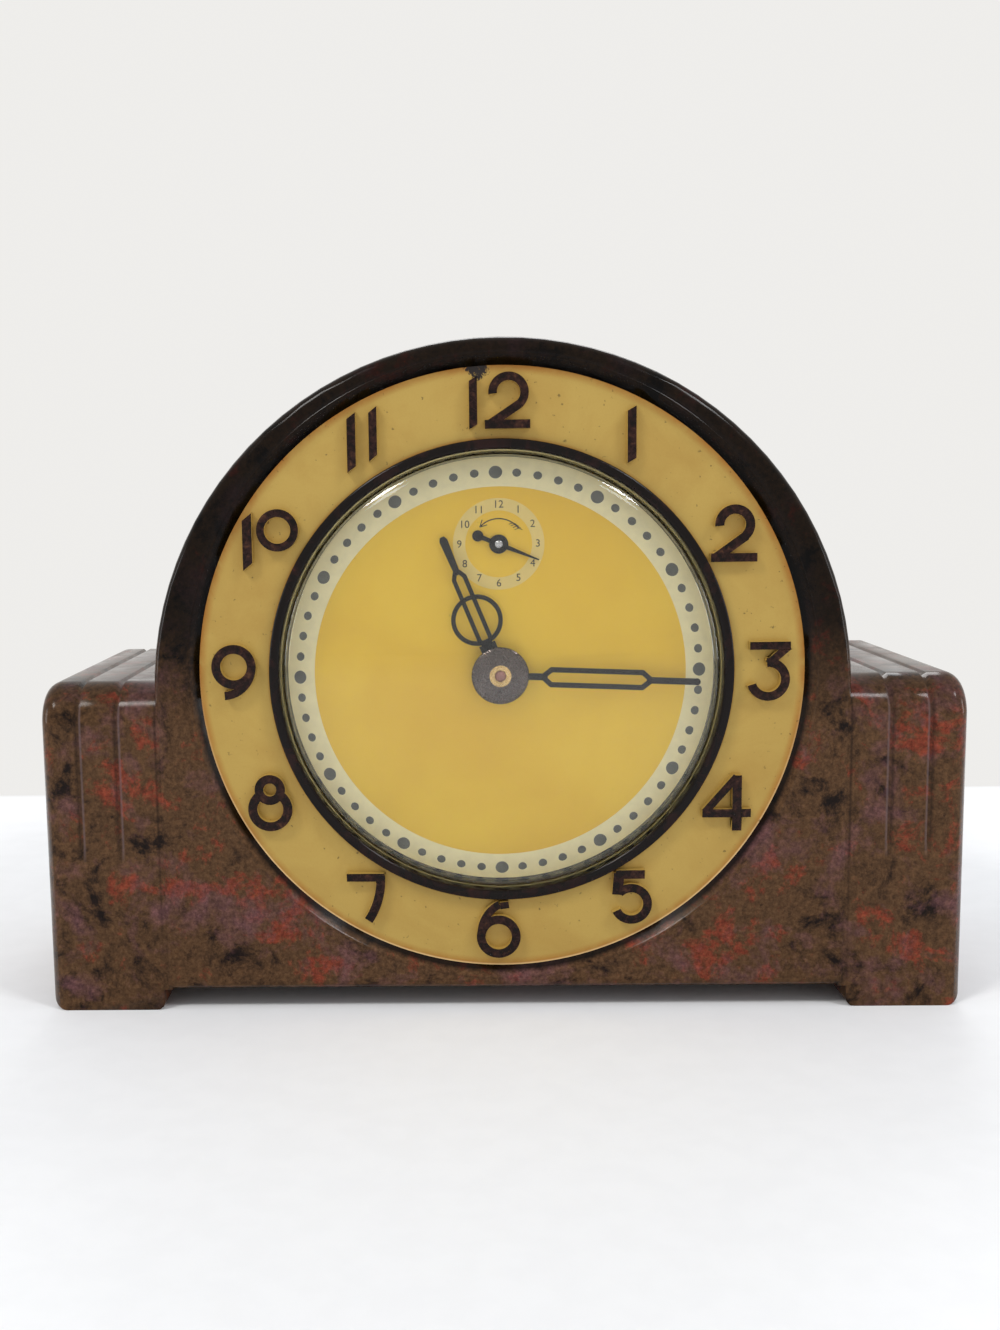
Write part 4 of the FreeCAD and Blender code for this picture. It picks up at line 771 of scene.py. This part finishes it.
def build_beads():
    """The round bead on the lip and the slope outside the channel."""
    stand = settings("case").lip_stand / MM
    low, high = FLOOR_DEPTH + 0.1, 3.0
    bead = [(OPENING_RADIUS - 0.12, high), (OPENING_RADIUS - 0.12, 0.35),
            (OPENING_RADIUS + 0.02, 0.0), (OPENING_RADIUS + 0.35, -stand),
            (LIP_RADIUS - 0.3, -stand), (LIP_RADIUS + 0.02, 0.0), (LIP_RADIUS + 0.12, 0.3),
            (LIP_RADIUS + 0.12, low), (LIP_RADIUS - 0.4, low), (LIP_RADIUS - 0.4, high)]
    piece("lip_bead", turned(bead, RING, 160), "lip_black", "frame",
          angle=50.0, even=True)
    slope = [(FLOOR_RADIUS - 0.1, FLOOR_DEPTH + 0.05), (FLOOR_RADIUS - 0.06, FLOOR_DEPTH - 0.12),
             (RIM_RADIUS - 0.35, 0.16), (RIM_RADIUS - 0.22, -0.04), (RIM_RADIUS, -0.12),
             (RIM_RADIUS + 0.22, -0.08), (RIM_RADIUS + 0.38, 0.03), (RIM_RADIUS + 0.1, 0.4),
             (FLOOR_RADIUS + 0.3, FLOOR_DEPTH + 0.2)]
    piece("channel_slope", turned(slope, RING, 192), "moulding", "frame",
          angle=60.0, even=True)


def build_channel():
    floor = flat_ring(LIP_RADIUS + 0.05, FLOOR_RADIUS - 0.02, FLOOR_DEPTH - 0.06,
                      FLOOR_DEPTH + 0.1)
    piece("channel_floor", turned(floor, RING, 192), "channel_gold", "frame")


STROKES = {"ones": sheet_one, "bars": sheet_bar, "arcs": sheet_arc, "holes": sheet_disc}


def stroke_prisms(strokes, height):
    """One prism for each stroke, standing back from the plane y = 0, and how it is joined."""
    prisms = []
    for kind, sheet in STROKES.items():
        for values in strokes.get(kind, ()):
            bm = bmesh.new()
            sheet(bm, *values)
            extruded(bm, (0, height, 0))
            if kind == "holes":
                bmesh.ops.scale(bm, vec=(1, 3, 1), verts=bm.verts,
                                space=Matrix.Translation((0, -height / 2, 0)))
            closed_up(bm, 1e-5)
            operation = "DIFFERENCE" if kind == "holes" else "UNION"
            prisms.append((plain_mesh(bm, "stroke"), operation))
    return prisms


def united(prisms):
    """The strokes of one figure as a single solid."""
    holders = []
    for mesh, operation in prisms:
        holder = linked("stroke", mesh)
        holders.append(holder)
        if len(holders) > 1:
            join = holders[0].modifiers.new("Join", "BOOLEAN")
            join.operation = operation
            join.solver = "EXACT"
            join.object = holder
    whole = evaluated(holders[0])
    for holder in holders:
        bpy.data.objects.remove(holder)
    return whole


def in_order(bm):
    """Sorts the elements by place, because the union gives them in another order each run."""
    def rank(point):
        return round(point.x, 3) * 971.0 + round(point.y, 3) * 53.0 + round(point.z, 3) * 7.0

    bm.verts.sort(key=lambda vert: rank(vert.co))
    bm.edges.sort(key=lambda edge: rank(edge.verts[0].co + edge.verts[1].co))
    bm.faces.sort(key=lambda face: rank(face.calc_center_median()))


def build_figures():
    """Twelve raised figures with dark tops and sides in the channel's gold."""
    edge = settings("case").figure_edge / MM
    top = at(0, 0.3, 0).y
    for hour, strokes in FIGURES.items():
        x, z = clock_point(RING, HOUR_CIRCLE, hour * 30)
        bm = bmesh.new()
        take_in(bm, united(stroke_prisms(strokes, FLOOR_DEPTH)))
        in_order(bm)
        bmesh.ops.dissolve_limit(bm, angle_limit=math.radians(1), verts=bm.verts, edges=bm.edges)
        closed_up(bm, 0.06)
        front_rounded(bm, edge)
        put_in_place(bm, (x + strokes["shift"][0], z + strokes["shift"][1]), 0)
        for face in bm.faces:
            on_top = face.normal.y < -0.5 and face.calc_center_median().y < top
            face.material_index = 0 if on_top else 1
        piece(f"figure_{hour:02d}", bm, ["figure_brown", "channel_gold"], "frame",
              angle=40.0)


# Dial

def build_dial():
    """The gold plate, the cream minute ring on it and the dots on that."""
    plate = flat_ring(DIAL_HOLE, DIAL_EDGE, DIAL_DEPTH, DIAL_DEPTH + 0.5)
    piece("dial_plate", turned(plate, DIAL, 128), "dial_gold", "frame", ("dial",))
    ring = flat_ring(*MINUTE_BAND, DIAL_DEPTH - 0.03, DIAL_DEPTH + 0.01)
    piece("minute_ring", turned(ring, DIAL, 160), "dial_cream", "frame")
    chosen = settings("dial")
    bm = bmesh.new()
    for minute in range(60):
        x, z = clock_point((DIAL[0] - 0.15, DIAL[1]), MINUTE_TRACK, minute * 6 - 0.5)
        radius, segments = (chosen.small_dot, 20) if minute % 5 else (chosen.big_dot, 28)
        sheet_disc(bm, x, z, radius / MM, segments)
    thickened(bm, DIAL_DEPTH - 0.055, DIAL_DEPTH - 0.02)
    piece("minute_dots", bm, "dot_grey", "frame")


def text_sheet(text, size):
    """A number as a flat mesh round its own middle."""
    curve = bpy.data.curves.new("figure_text", "FONT")
    curve.body = text
    curve.size = size
    curve.align_x = "CENTER"
    curve.align_y = "CENTER"
    curve.resolution_u = 3
    holder = linked("figure_text", curve)
    made = evaluated(holder)
    bpy.data.objects.remove(holder)
    bpy.data.curves.remove(curve)
    made.transform(Matrix.Rotation(math.pi / 2, 4, "X"))
    return made


def build_alarm_dial():
    """The alarm's pale band, its small figures and the feathered arrow over its hub."""
    band = flat_ring(*ALARM_BAND, DIAL_DEPTH - 0.03, DIAL_DEPTH + 0.01)
    piece("alarm_band", turned(band, SUB_DIAL, 96), "sub_dial_pale", "frame")
    bm = bmesh.new()
    for hour in range(1, 13):
        x, z = clock_point((0, 0), ALARM_CIRCLE, hour * 30)
        number = text_sheet(str(hour), 1.9)
        number.transform(Matrix.Translation((x, 0, z)))
        take_in(bm, number)
    sheet_arc(bm, 0, 0, ARROW_CIRCLE, 0.20, 38, 96, 24)
    head = clock_point((0, 0), ARROW_CIRCLE, -46)
    for lean in (14, 74):
        end = polar(head, 1.25, lean)
        sheet_bar(bm, head[0] - 0.1, head[1] - 0.1, *end, 0.16)
    for feather in (34, 40, 46, 52):
        root = clock_point((0, 0), ARROW_CIRCLE, feather)
        for lean in (-35, 215):
            end = polar(root, 0.85, lean)
            sheet_bar(bm, *root, end[0], end[1] + 0.2, 0.12)
    thickened(bm, DIAL_DEPTH - 0.055, DIAL_DEPTH - 0.02, centre=SUB_DIAL)
    piece("alarm_figures", bm, "ink", "frame")


def dome_line(crown, shoulder, rim, fall):
    """Radius and depth down a crown of large radius and then round its shoulder to the rim."""
    sphere = 287.0
    line = []
    for step in range(13):
        radius = shoulder * step / 12
        line.append((radius, crown + sphere - math.sqrt(sphere ** 2 - radius ** 2)))
    start = line[-1][1]
    for turn in range(10, 91, 8):
        angle = math.radians(turn)
        line.append((shoulder + (rim - shoulder) * math.sin(angle),
                     start + fall * (1 - math.cos(angle))))
    return line


def build_glass():
    """The domed crystal: a flat crown that falls away to a tight shoulder at its rim."""
    rim = OPENING_RADIUS - 0.3
    shoulder = rim - 4.6
    crown, fall, thick = -3.15, 2.5, 0.6
    outer = dome_line(crown, shoulder, rim, fall) + [(rim, 3.0), (rim + 2.3, 3.0),
                                                     (rim + 2.3, 4.5)]
    inner = dome_line(crown + thick, shoulder, rim - thick, fall) + [(rim - thick, 4.5)]
    piece("domed_glass", turned(outer + inner[::-1], RING, 160, closed=False), "glass", "frame",
          ("crystal",), angle=60.0)


# Hands

def hand_frame(half, low, high, ends, bar_width):
    """An open frame of that half width, narrower at both ends, with its middle taken out."""
    (low_half, low_end), (high_half, high_end) = ends
    bm = bmesh.new()
    face = sheet_outline(bm, [
        (-low_half, low_end), (low_half, low_end), (half, low), (half, high),
        (high_half, high_end), (-high_half, high_end), (-half, high), (-half, low)])
    bmesh.ops.inset_region(bm, faces=[face], thickness=bar_width, depth=0, use_even_offset=True,
                           use_boundary=True)
    bmesh.ops.delete(bm, geom=[face], context="FACES_ONLY")
    return bm


def build_minute_hand():
    bm = hand_frame(1.8, 8.9, 25.4, ((0.6, 7.5), (0.55, 26.9)), 0.92)
    sheet_bar(bm, 0, 3.6, 0, 8.1, 1.2)
    sheet_bar(bm, 0, 26.4, 0, 34.9, 1.15)
    sheet_disc(bm, 0, 34.9, 0.62, 20)
    sheet_arc(bm, 0, 0, 3.1, 2.6, 0, 360, 48)
    thickened(bm, 2.9, 3.25, settings("hands").edge / MM, DIAL, MINUTE_AT)
    piece("minute_hand_frame", bm, "hand_black", "centre_set", ("minute_hand",))


def build_hour_hand():
    bm = hand_frame(1.4, 6.8, 18.8, ((0.7, 5.4), (0.65, 20.1)), 0.78)
    sheet_arc(bm, 0, 10.6, 4.2, 0.8, 0, 360, 56)
    sheet_outline(bm, [(-0.55, 19.8), (0.55, 19.8), (0.75, 25.9), (0.4, 26.6), (-0.4, 26.6),
                       (-0.75, 25.9)])
    sheet_bar(bm, 0, 3.4, 0, 6.0, 3.0)
    sheet_arc(bm, 0, 0, 3.5, 1.6, 0, 360, 48)
    thickened(bm, 4.3, 4.65, settings("hands").edge / MM, DIAL, HOUR_AT)
    piece("hour_hand_frame", bm, "hand_black", "hour_set", ("hour_hand",))


def build_alarm_hand():
    bm = bmesh.new()
    sheet_outline(bm, [(-0.42, 1.0), (0.42, 1.0), (0.12, 7.7), (-0.12, 7.7)])
    sheet_bar(bm, 0, -4.0, 0, -1.0, 0.8)
    sheet_disc(bm, 0, -4.0, 1.0, 24)
    sheet_arc(bm, 0, 0, 1.2, 1.0, 0, 360, 40)
    thickened(bm, 5.7, 6.05, 0.05, SUB_DIAL, ALARM_AT)
    piece("alarm_pointer", bm, "hand_black", "alarm_setting_set", ("alarm_hand",))
    end = [(0, 5.35), (0.42, 5.4), (0.68, 5.62), (0.7, 6.0), (0.7, 6.4), (0, 6.4)]
    piece("alarm_arbor_end", turned(end, SUB_DIAL, 32, closed=False), "steel",
          "alarm_setting_set")


def build_hub():
    """The domed washer on the hands, its collet and the arbor's pink end."""
    dome = [(1.95, 2.08), (2.3, 2.12), (3.6, 2.2), (4.6, 2.38), (4.95, 2.55), (5.1, 2.75),
            (5.1, 2.9), (1.95, 2.9)]
    piece("hub_dome", turned(dome, DIAL, 96), "hub_metal", "centre_set",
          ("hub_washer",), angle=50.0)
    collet = [(1.05, 2.0), (1.15, 1.92), (1.75, 1.92), (1.92, 2.02), (1.95, 2.6), (1.05, 2.6)]
    piece("hub_collet", turned(collet, DIAL, 64), "brass", "centre_set", angle=50.0)
    pivot = [(0, 1.82), (0.5, 1.86), (0.9, 2.0), (1.0, 2.2), (1.0, 2.6), (0, 2.6)]
    piece("hub_pivot", turned(pivot, DIAL, 48, closed=False), "hub_pink", "centre_set",
          angle=50.0)


# Back of the clock

def build_cover():
    """The cover sheet with a collar round each arbor and a winding arrow by each key."""
    piece("cover_sheet", cad_copy("back_cover"), "cover_paint", "frame",
          ("back_cover",), angle=30.0, even=True)
    bm = bmesh.new()
    collar = ((0, -0.1), (0.12, 0.32), (0.5, 0.45), (0.88, 0.32), (1.0, -0.1))
    for centre, radius in ((TIME_KEY, 3.6), (ALARM_KEY, 3.6), (DIAL, 2.6), (SUB_DIAL, 2.3)):
        spun(bm, [(radius + out, COVER_BACK + high) for out, high in collar], centre, 48)
    piece("cover_collars", bm, "cover_paint", "frame", angle=60.0)
    bm = bmesh.new()
    start, sweep = 215, 110
    for centre in (TIME_KEY, ALARM_KEY):
        sheet_arc(bm, *centre, ARROW_REACH, 0.8, start, sweep, 28)
        end = start + sweep
        tip = polar(centre, ARROW_REACH, end)
        sheet_outline(bm, [polar(tip, 1.3, end), polar(tip, -1.3, end), polar(tip, 2.4, end + 90)])
    thickened(bm, COVER_BACK - 0.1, COVER_BACK + 0.3)
    piece("winding_arrows", bm, "cover_paint", "frame", angle=60.0)


def slotted_head(bm, centre, radius, front, height):
    """A cheese head with a slot: two halves on a base."""
    base = front + height * 0.45
    spun(bm, [(0, base), (radius, base), (radius, front), (0, front)], centre, 40, closed=False)
    for side in (-1, 1):
        half = turned([(0, front + height), (radius * 0.7, front + height),
                       (radius, front + height * 0.72), (radius, front + height * 0.3),
                       (0, front + height * 0.3)], centre, 40, closed=False)
        bmesh.ops.remove_doubles(half, verts=half.verts, dist=1e-7)
        geometry = list(half.verts) + list(half.edges) + list(half.faces)
        cut = bmesh.ops.bisect_plane(
            half, geom=geometry, plane_co=at(centre[0] + side * SLOT_HALF, 0, centre[1]),
            plane_no=(-side, 0, 0), clear_outer=True)["geom_cut"]
        bmesh.ops.edgeloop_fill(
            half, edges=[part for part in cut if isinstance(part, bmesh.types.BMEdge)])
        take_in(bm, plain_mesh(half, "half_head"))


def build_cover_screws():
    bm = bmesh.new()
    start = COVER_BACK + 0.1
    shank = [(0, start), (1.4, start), (1.4, SCREW_END), (0, SCREW_END)]
    for centre in SCREWS:
        slotted_head(bm, centre, SCREW_RADIUS, COVER_BACK, 1.6)
        spun(bm, shank, centre, 24, closed=False)
    piece("cover_screw_set", bm, "steel", "frame", ("back_cover_screws",))


def build_key(name, centre, body, node_name):
    """A winding key: a hub with a socket, two ring lobes and the web between them."""
    x, z = centre
    end = BEHIND + 4.0
    lobe_depth = end + 7.8
    bm = turned([(0, end + 1.9), (1.6, end + 1.8), (2.6, end + 1.0), (3.0, end),
                 (3.2, end - 0.5), (3.2, BEHIND + 0.4), (2.9, BEHIND), (2.0, BEHIND),
                 (2.0, BEHIND + 3.0), (0, BEHIND + 3.0)], centre, 56, closed=False)
    ring = [(2.4, -0.7), (2.65, -1.0), (4.8, -1.0), (5.15, -0.65), (KEY_LOBE, 0), (5.15, 0.65),
            (4.8, 1.0), (2.65, 1.0), (2.4, 0.7)]
    for side in (-1, 1):
        middle = at(x + side * KEY_LOBE, lobe_depth, z)
        verts = [bm.verts.new(middle + Vector((r * MM, 0, h * MM))) for r, h in ring]
        edges = [bm.edges.new((verts[k - 1], verts[k])) for k in range(len(verts))]
        swept_round(bm, verts, edges, middle, (0, 0, 1), 64)
    web = bmesh.new()
    corners = [(-3.0, end - 0.6), (3.0, end - 0.6), (8.6, lobe_depth - 2.6),
               (KEY_LOBE, lobe_depth - 2.7), (1.2, lobe_depth + 1.6), (0, lobe_depth + 2.3),
               (-1.2, lobe_depth + 1.6), (-KEY_LOBE, lobe_depth - 2.7), (-8.6, lobe_depth - 2.6)]
    web.faces.new([web.verts.new(at(x + out, depth, z - 0.95)) for out, depth in corners])
    extruded(web, (0, 0, 1.9 * MM))
    bmesh.ops.recalc_face_normals(web, faces=web.faces)
    flat = [e for e in web.edges if abs(e.verts[0].co.z - e.verts[1].co.z) < 1e-7]
    bevelled(web, flat, 0.25 * MM)
    take_in(bm, plain_mesh(web, "web"))
    piece(name, bm, "brass", body, (node_name,), angle=40.0)


def build_knob(name, centre, body, node_name, bore):
    """A knurled setting knob with a crowned end."""
    outline = [(0, 5.6), (3.6, 5.55), (4.5, 5.3), (4.95, 4.8), (KNOB_RADIUS, 4.5),
               (KNOB_RADIUS, 0.7), (4.7, 0), (bore, 0), (bore, 2.8), (0, 2.8)]
    bm = turned([(radius, BEHIND + depth) for radius, depth in outline], centre, KNOB_TEETH * 2,
                closed=False)
    bmesh.ops.remove_doubles(bm, verts=bm.verts, dist=1e-7)
    axis = at(centre[0], 0, centre[1])
    for vert in bm.verts:
        offset = Vector((vert.co.x - axis.x, 0, vert.co.z - axis.z))
        step = round(math.degrees(math.atan2(offset.z, offset.x)) / (180 / KNOB_TEETH))
        if offset.length > 4.6 * MM and step % 2:
            vert.co -= offset.normalized() * 0.35 * MM
    piece(name, bm, "brass", body, (node_name,), angle=22.0)


DRESSED = {"case", "crystal", "dial", "minute_hand", "hub_washer", "hour_hand", "alarm_hand",
           "back_cover", "back_cover_screws", "time_key", "alarm_key", "time_set_knob",
           "alarm_set_knob"}
WORKS = {
    "brass": ("front_plate", "back_plate", "centre_wheel", "hour_wheel", "minute_wheel",
              "alarm_wheel", "time_great_wheel", "alarm_great_wheel", "third_wheel",
              "fourth_wheel", "escape_wheel", "balance_wheel", "alarm_escape_wheel",
              "cannon_pinion"),
    "spring_blue": ("time_mainspring", "alarm_mainspring", "hairspring",
                    "alarm_release_spring"),
    "dial_cream": ("crystal_ring",),
}


def dress_works():
    """Gives the solids that no piece replaces their finishes, steel where none is named."""
    finishes = {name: finish for finish, names in WORKS.items() for name in names}
    for name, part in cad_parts.items():
        if name not in DRESSED:
            part.data.materials.clear()
            part.data.materials.append(finish_named(finishes.get(name, "steel")))


# Studio

def area_lamp(name, place, size, energy, colour):
    data = bpy.data.lights.new(name, "AREA")
    data.shape = "RECTANGLE"
    data.size, data.size_y = size
    data.energy = energy
    data.color = colour
    lamp = linked(name, data)
    lamp.location = place
    aim = Vector(LAMP_AIM) - Vector(place)
    lamp.rotation_euler = aim.to_track_quat("-Z", "Y").to_euler()


def mixed_shaders(tree, factor, first, second):
    made = node(tree, "ShaderNodeMixShader")
    for socket, value in zip(made.inputs, (factor, first, second)):
        tree.links.new(value, socket)
    return made.outputs["Shader"]


def pale_floor(chosen):
    """A white table that passes into the backdrop's own tone behind the clock and far away."""
    made, tree, shader, where = material("pale_floor")
    grain = noise(tree, where, 160.0, 3.0, 0.5, 0.0)
    tone = tuple(chosen.floor)
    tree.links.new(clouded(tree, grain, 0.4, 0.6, 1.0, tone, toned(tone, 0.985)),
                   shader.inputs["Base Color"])
    shader.inputs["Roughness"].default_value = 0.6
    shader.inputs["Specular IOR Level"].default_value = 0.2
    glow = node(tree, "ShaderNodeEmission", {"Color": (*chosen.backdrop, 1.0), "Strength": 1.0})
    behind = spread(tree, axes_of(tree, where)[1], TABLE_EDGE - 0.002, TABLE_EDGE + 0.002, 0.0,
                    1.0)
    away = spread(tree, length_of(tree, where), 0.45, 0.75, 0.0, 1.0)
    mixed = mixed_shaders(tree, worked_out(tree, "MAXIMUM", behind, away),
                          shader.outputs["BSDF"], glow.outputs["Emission"])
    tree.links.new(mixed, tree.nodes["Material Output"].inputs["Surface"])
    return made


def build_world(chosen):
    """Even light, and the backdrop's own tone for what is seen, seen through or mirrored."""
    world = bpy.data.worlds.new("plain_studio")
    world.use_nodes = True
    tree = world.node_tree
    tree.nodes.clear()
    out = node(tree, "ShaderNodeOutputWorld")
    seen = node(tree, "ShaderNodeBackground", {"Color": (*chosen.backdrop, 1.0),
                                               "Strength": 1.0})
    light = node(tree, "ShaderNodeBackground", {"Color": (0.95, 0.97, 1.0, 1.0),
                                                "Strength": 0.65})
    path = node(tree, "ShaderNodeLightPath").outputs
    rays = worked_out(tree, "MAXIMUM", path["Is Camera Ray"], path["Is Transmission Ray"])
    rays = worked_out(tree, "MAXIMUM", rays, path["Is Glossy Ray"])
    mixed = mixed_shaders(tree, rays, light.outputs["Background"], seen.outputs["Background"])
    tree.links.new(mixed, out.inputs["Surface"])
    bpy.context.scene.world = world


def build_camera(chosen):
    """The photograph's own viewpoint."""
    yaw, pitch, roll = CAMERA_YAW, CAMERA_PITCH, CAMERA_ROLL
    forward = Vector((math.sin(yaw) * math.cos(pitch), math.cos(yaw) * math.cos(pitch),
                      -math.sin(pitch)))
    level = Vector((math.cos(yaw), -math.sin(yaw), 0))
    down = forward.cross(level)
    right = level * math.cos(roll) + down * math.sin(roll)
    low = down * math.cos(roll) - level * math.sin(roll)
    data = bpy.data.cameras.new("photo_view")
    data.lens = chosen.lens
    data.sensor_width = 36.0
    data.sensor_fit = "AUTO"
    data.shift_x = CAMERA_SHIFT
    data.clip_start = 0.01
    camera = linked("photo_view", data)
    axes = Matrix((right, -low, -forward)).transposed().to_4x4()
    camera.matrix_world = Matrix.Translation(at(*CAMERA_PLACE)) @ axes
    bpy.context.scene.camera = camera


def build_studio():
    chosen = settings("studio")
    bm = bmesh.new()
    bmesh.ops.create_circle(bm, cap_ends=True, radius=FLOOR_SIZE, segments=96)
    mesh = as_mesh(bm, "floor")
    mesh.materials.append(pale_floor(chosen))
    floor = linked("floor", mesh)
    for name, values in LAMPS.items():
        area_lamp(name, *values)
    build_world(chosen)
    build_camera(chosen)
    bpy.context.scene.view_settings.view_transform = "Standard"


class CLOCK_OT_studio(bpy.types.Operator):
    """Adds the floor, the lamps, the world and the camera"""
    bl_idname = "clock.studio"
    bl_label = "Studio"

    def execute(self, context):
        build_studio()
        return {"FINISHED"}


class CLOCK_OT_case(bpy.types.Operator):
    """Builds the moulded case with its beads, gold channel and raised figures"""
    bl_idname = "clock.case"
    bl_label = "Case and figures"

    def execute(self, context):
        build_case()
        build_beads()
        build_channel()
        build_figures()
        return {"FINISHED"}


class CLOCK_OT_dial(bpy.types.Operator):
    """Builds the dial, its minute ring and dots, and the alarm's small dial"""
    bl_idname = "clock.dial"
    bl_label = "Dial"

    def execute(self, context):
        build_dial()
        build_alarm_dial()
        return {"FINISHED"}


class CLOCK_OT_glass(bpy.types.Operator):
    """Builds the domed glass"""
    bl_idname = "clock.glass"
    bl_label = "Glass"

    def execute(self, context):
        build_glass()
        return {"FINISHED"}


class CLOCK_OT_hands(bpy.types.Operator):
    """Builds the three hands and their hub"""
    bl_idname = "clock.hands"
    bl_label = "Hands"

    def execute(self, context):
        build_minute_hand()
        build_hour_hand()
        build_alarm_hand()
        build_hub()
        return {"FINISHED"}


class CLOCK_OT_back(bpy.types.Operator):
    """Builds the back cover with its screws"""
    bl_idname = "clock.back"
    bl_label = "Back cover"

    def execute(self, context):
        build_cover()
        build_cover_screws()
        return {"FINISHED"}


class CLOCK_OT_keys(bpy.types.Operator):
    """Builds the winding keys and the setting knobs"""
    bl_idname = "clock.keys"
    bl_label = "Keys and knobs"

    def execute(self, context):
        build_key("time_winding_key", TIME_KEY, "time_winding_set", "time_key")
        build_key("alarm_winding_key", ALARM_KEY, "alarm_winding_set", "alarm_key")
        build_knob("time_knob", DIAL, "centre_set", "time_set_knob", 1.0)
        build_knob("alarm_knob", SUB_DIAL, "alarm_setting_set", "alarm_set_knob", 0.7)
        return {"FINISHED"}


class CLOCK_OT_works(bpy.types.Operator):
    """Gives the movement its metals"""
    bl_idname = "clock.works"
    bl_label = "Movement"

    def execute(self, context):
        dress_works()
        return {"FINISHED"}


GROUPS = {"case": CaseSettings, "dial": DialSettings, "hands": HandSettings,
          "back": BackSettings, "studio": StudioSettings}
OPERATORS = (CLOCK_OT_studio, CLOCK_OT_case, CLOCK_OT_dial, CLOCK_OT_glass, CLOCK_OT_hands,
             CLOCK_OT_back, CLOCK_OT_keys, CLOCK_OT_works)


class CLOCK_PT_panel(bpy.types.Panel):
    """Lists the clock's settings and its pieces"""
    bl_idname = "CLOCK_PT_panel"
    bl_label = "Clock"
    bl_space_type = "VIEW_3D"
    bl_region_type = "UI"
    bl_category = "Clock"

    def draw(self, context):
        column = self.layout.column()
        for name, group in GROUPS.items():
            for key in group.__annotations__:
                column.prop(getattr(context.scene, "clock_" + name), key)
        for each in OPERATORS:
            column.operator(each.bl_idname)


def register():
    for name, group in GROUPS.items():
        bpy.utils.register_class(group)
        setattr(bpy.types.Scene, "clock_" + name, bpy.props.PointerProperty(type=group))
    for each in OPERATORS:
        bpy.utils.register_class(each)
    bpy.utils.register_class(CLOCK_PT_panel)


def unregister():
    bpy.utils.unregister_class(CLOCK_PT_panel)
    for each in reversed(OPERATORS):
        bpy.utils.unregister_class(each)
    for name, group in GROUPS.items():
        delattr(bpy.types.Scene, "clock_" + name)
        bpy.utils.unregister_class(group)


def main():
    register()
    bpy.ops.clock.studio()
    bpy.ops.clock.case()
    bpy.ops.clock.dial()
    bpy.ops.clock.glass()
    bpy.ops.clock.hands()
    bpy.ops.clock.back()
    bpy.ops.clock.keys()
    bpy.ops.clock.works()


if __name__ == "__main__":
    main()
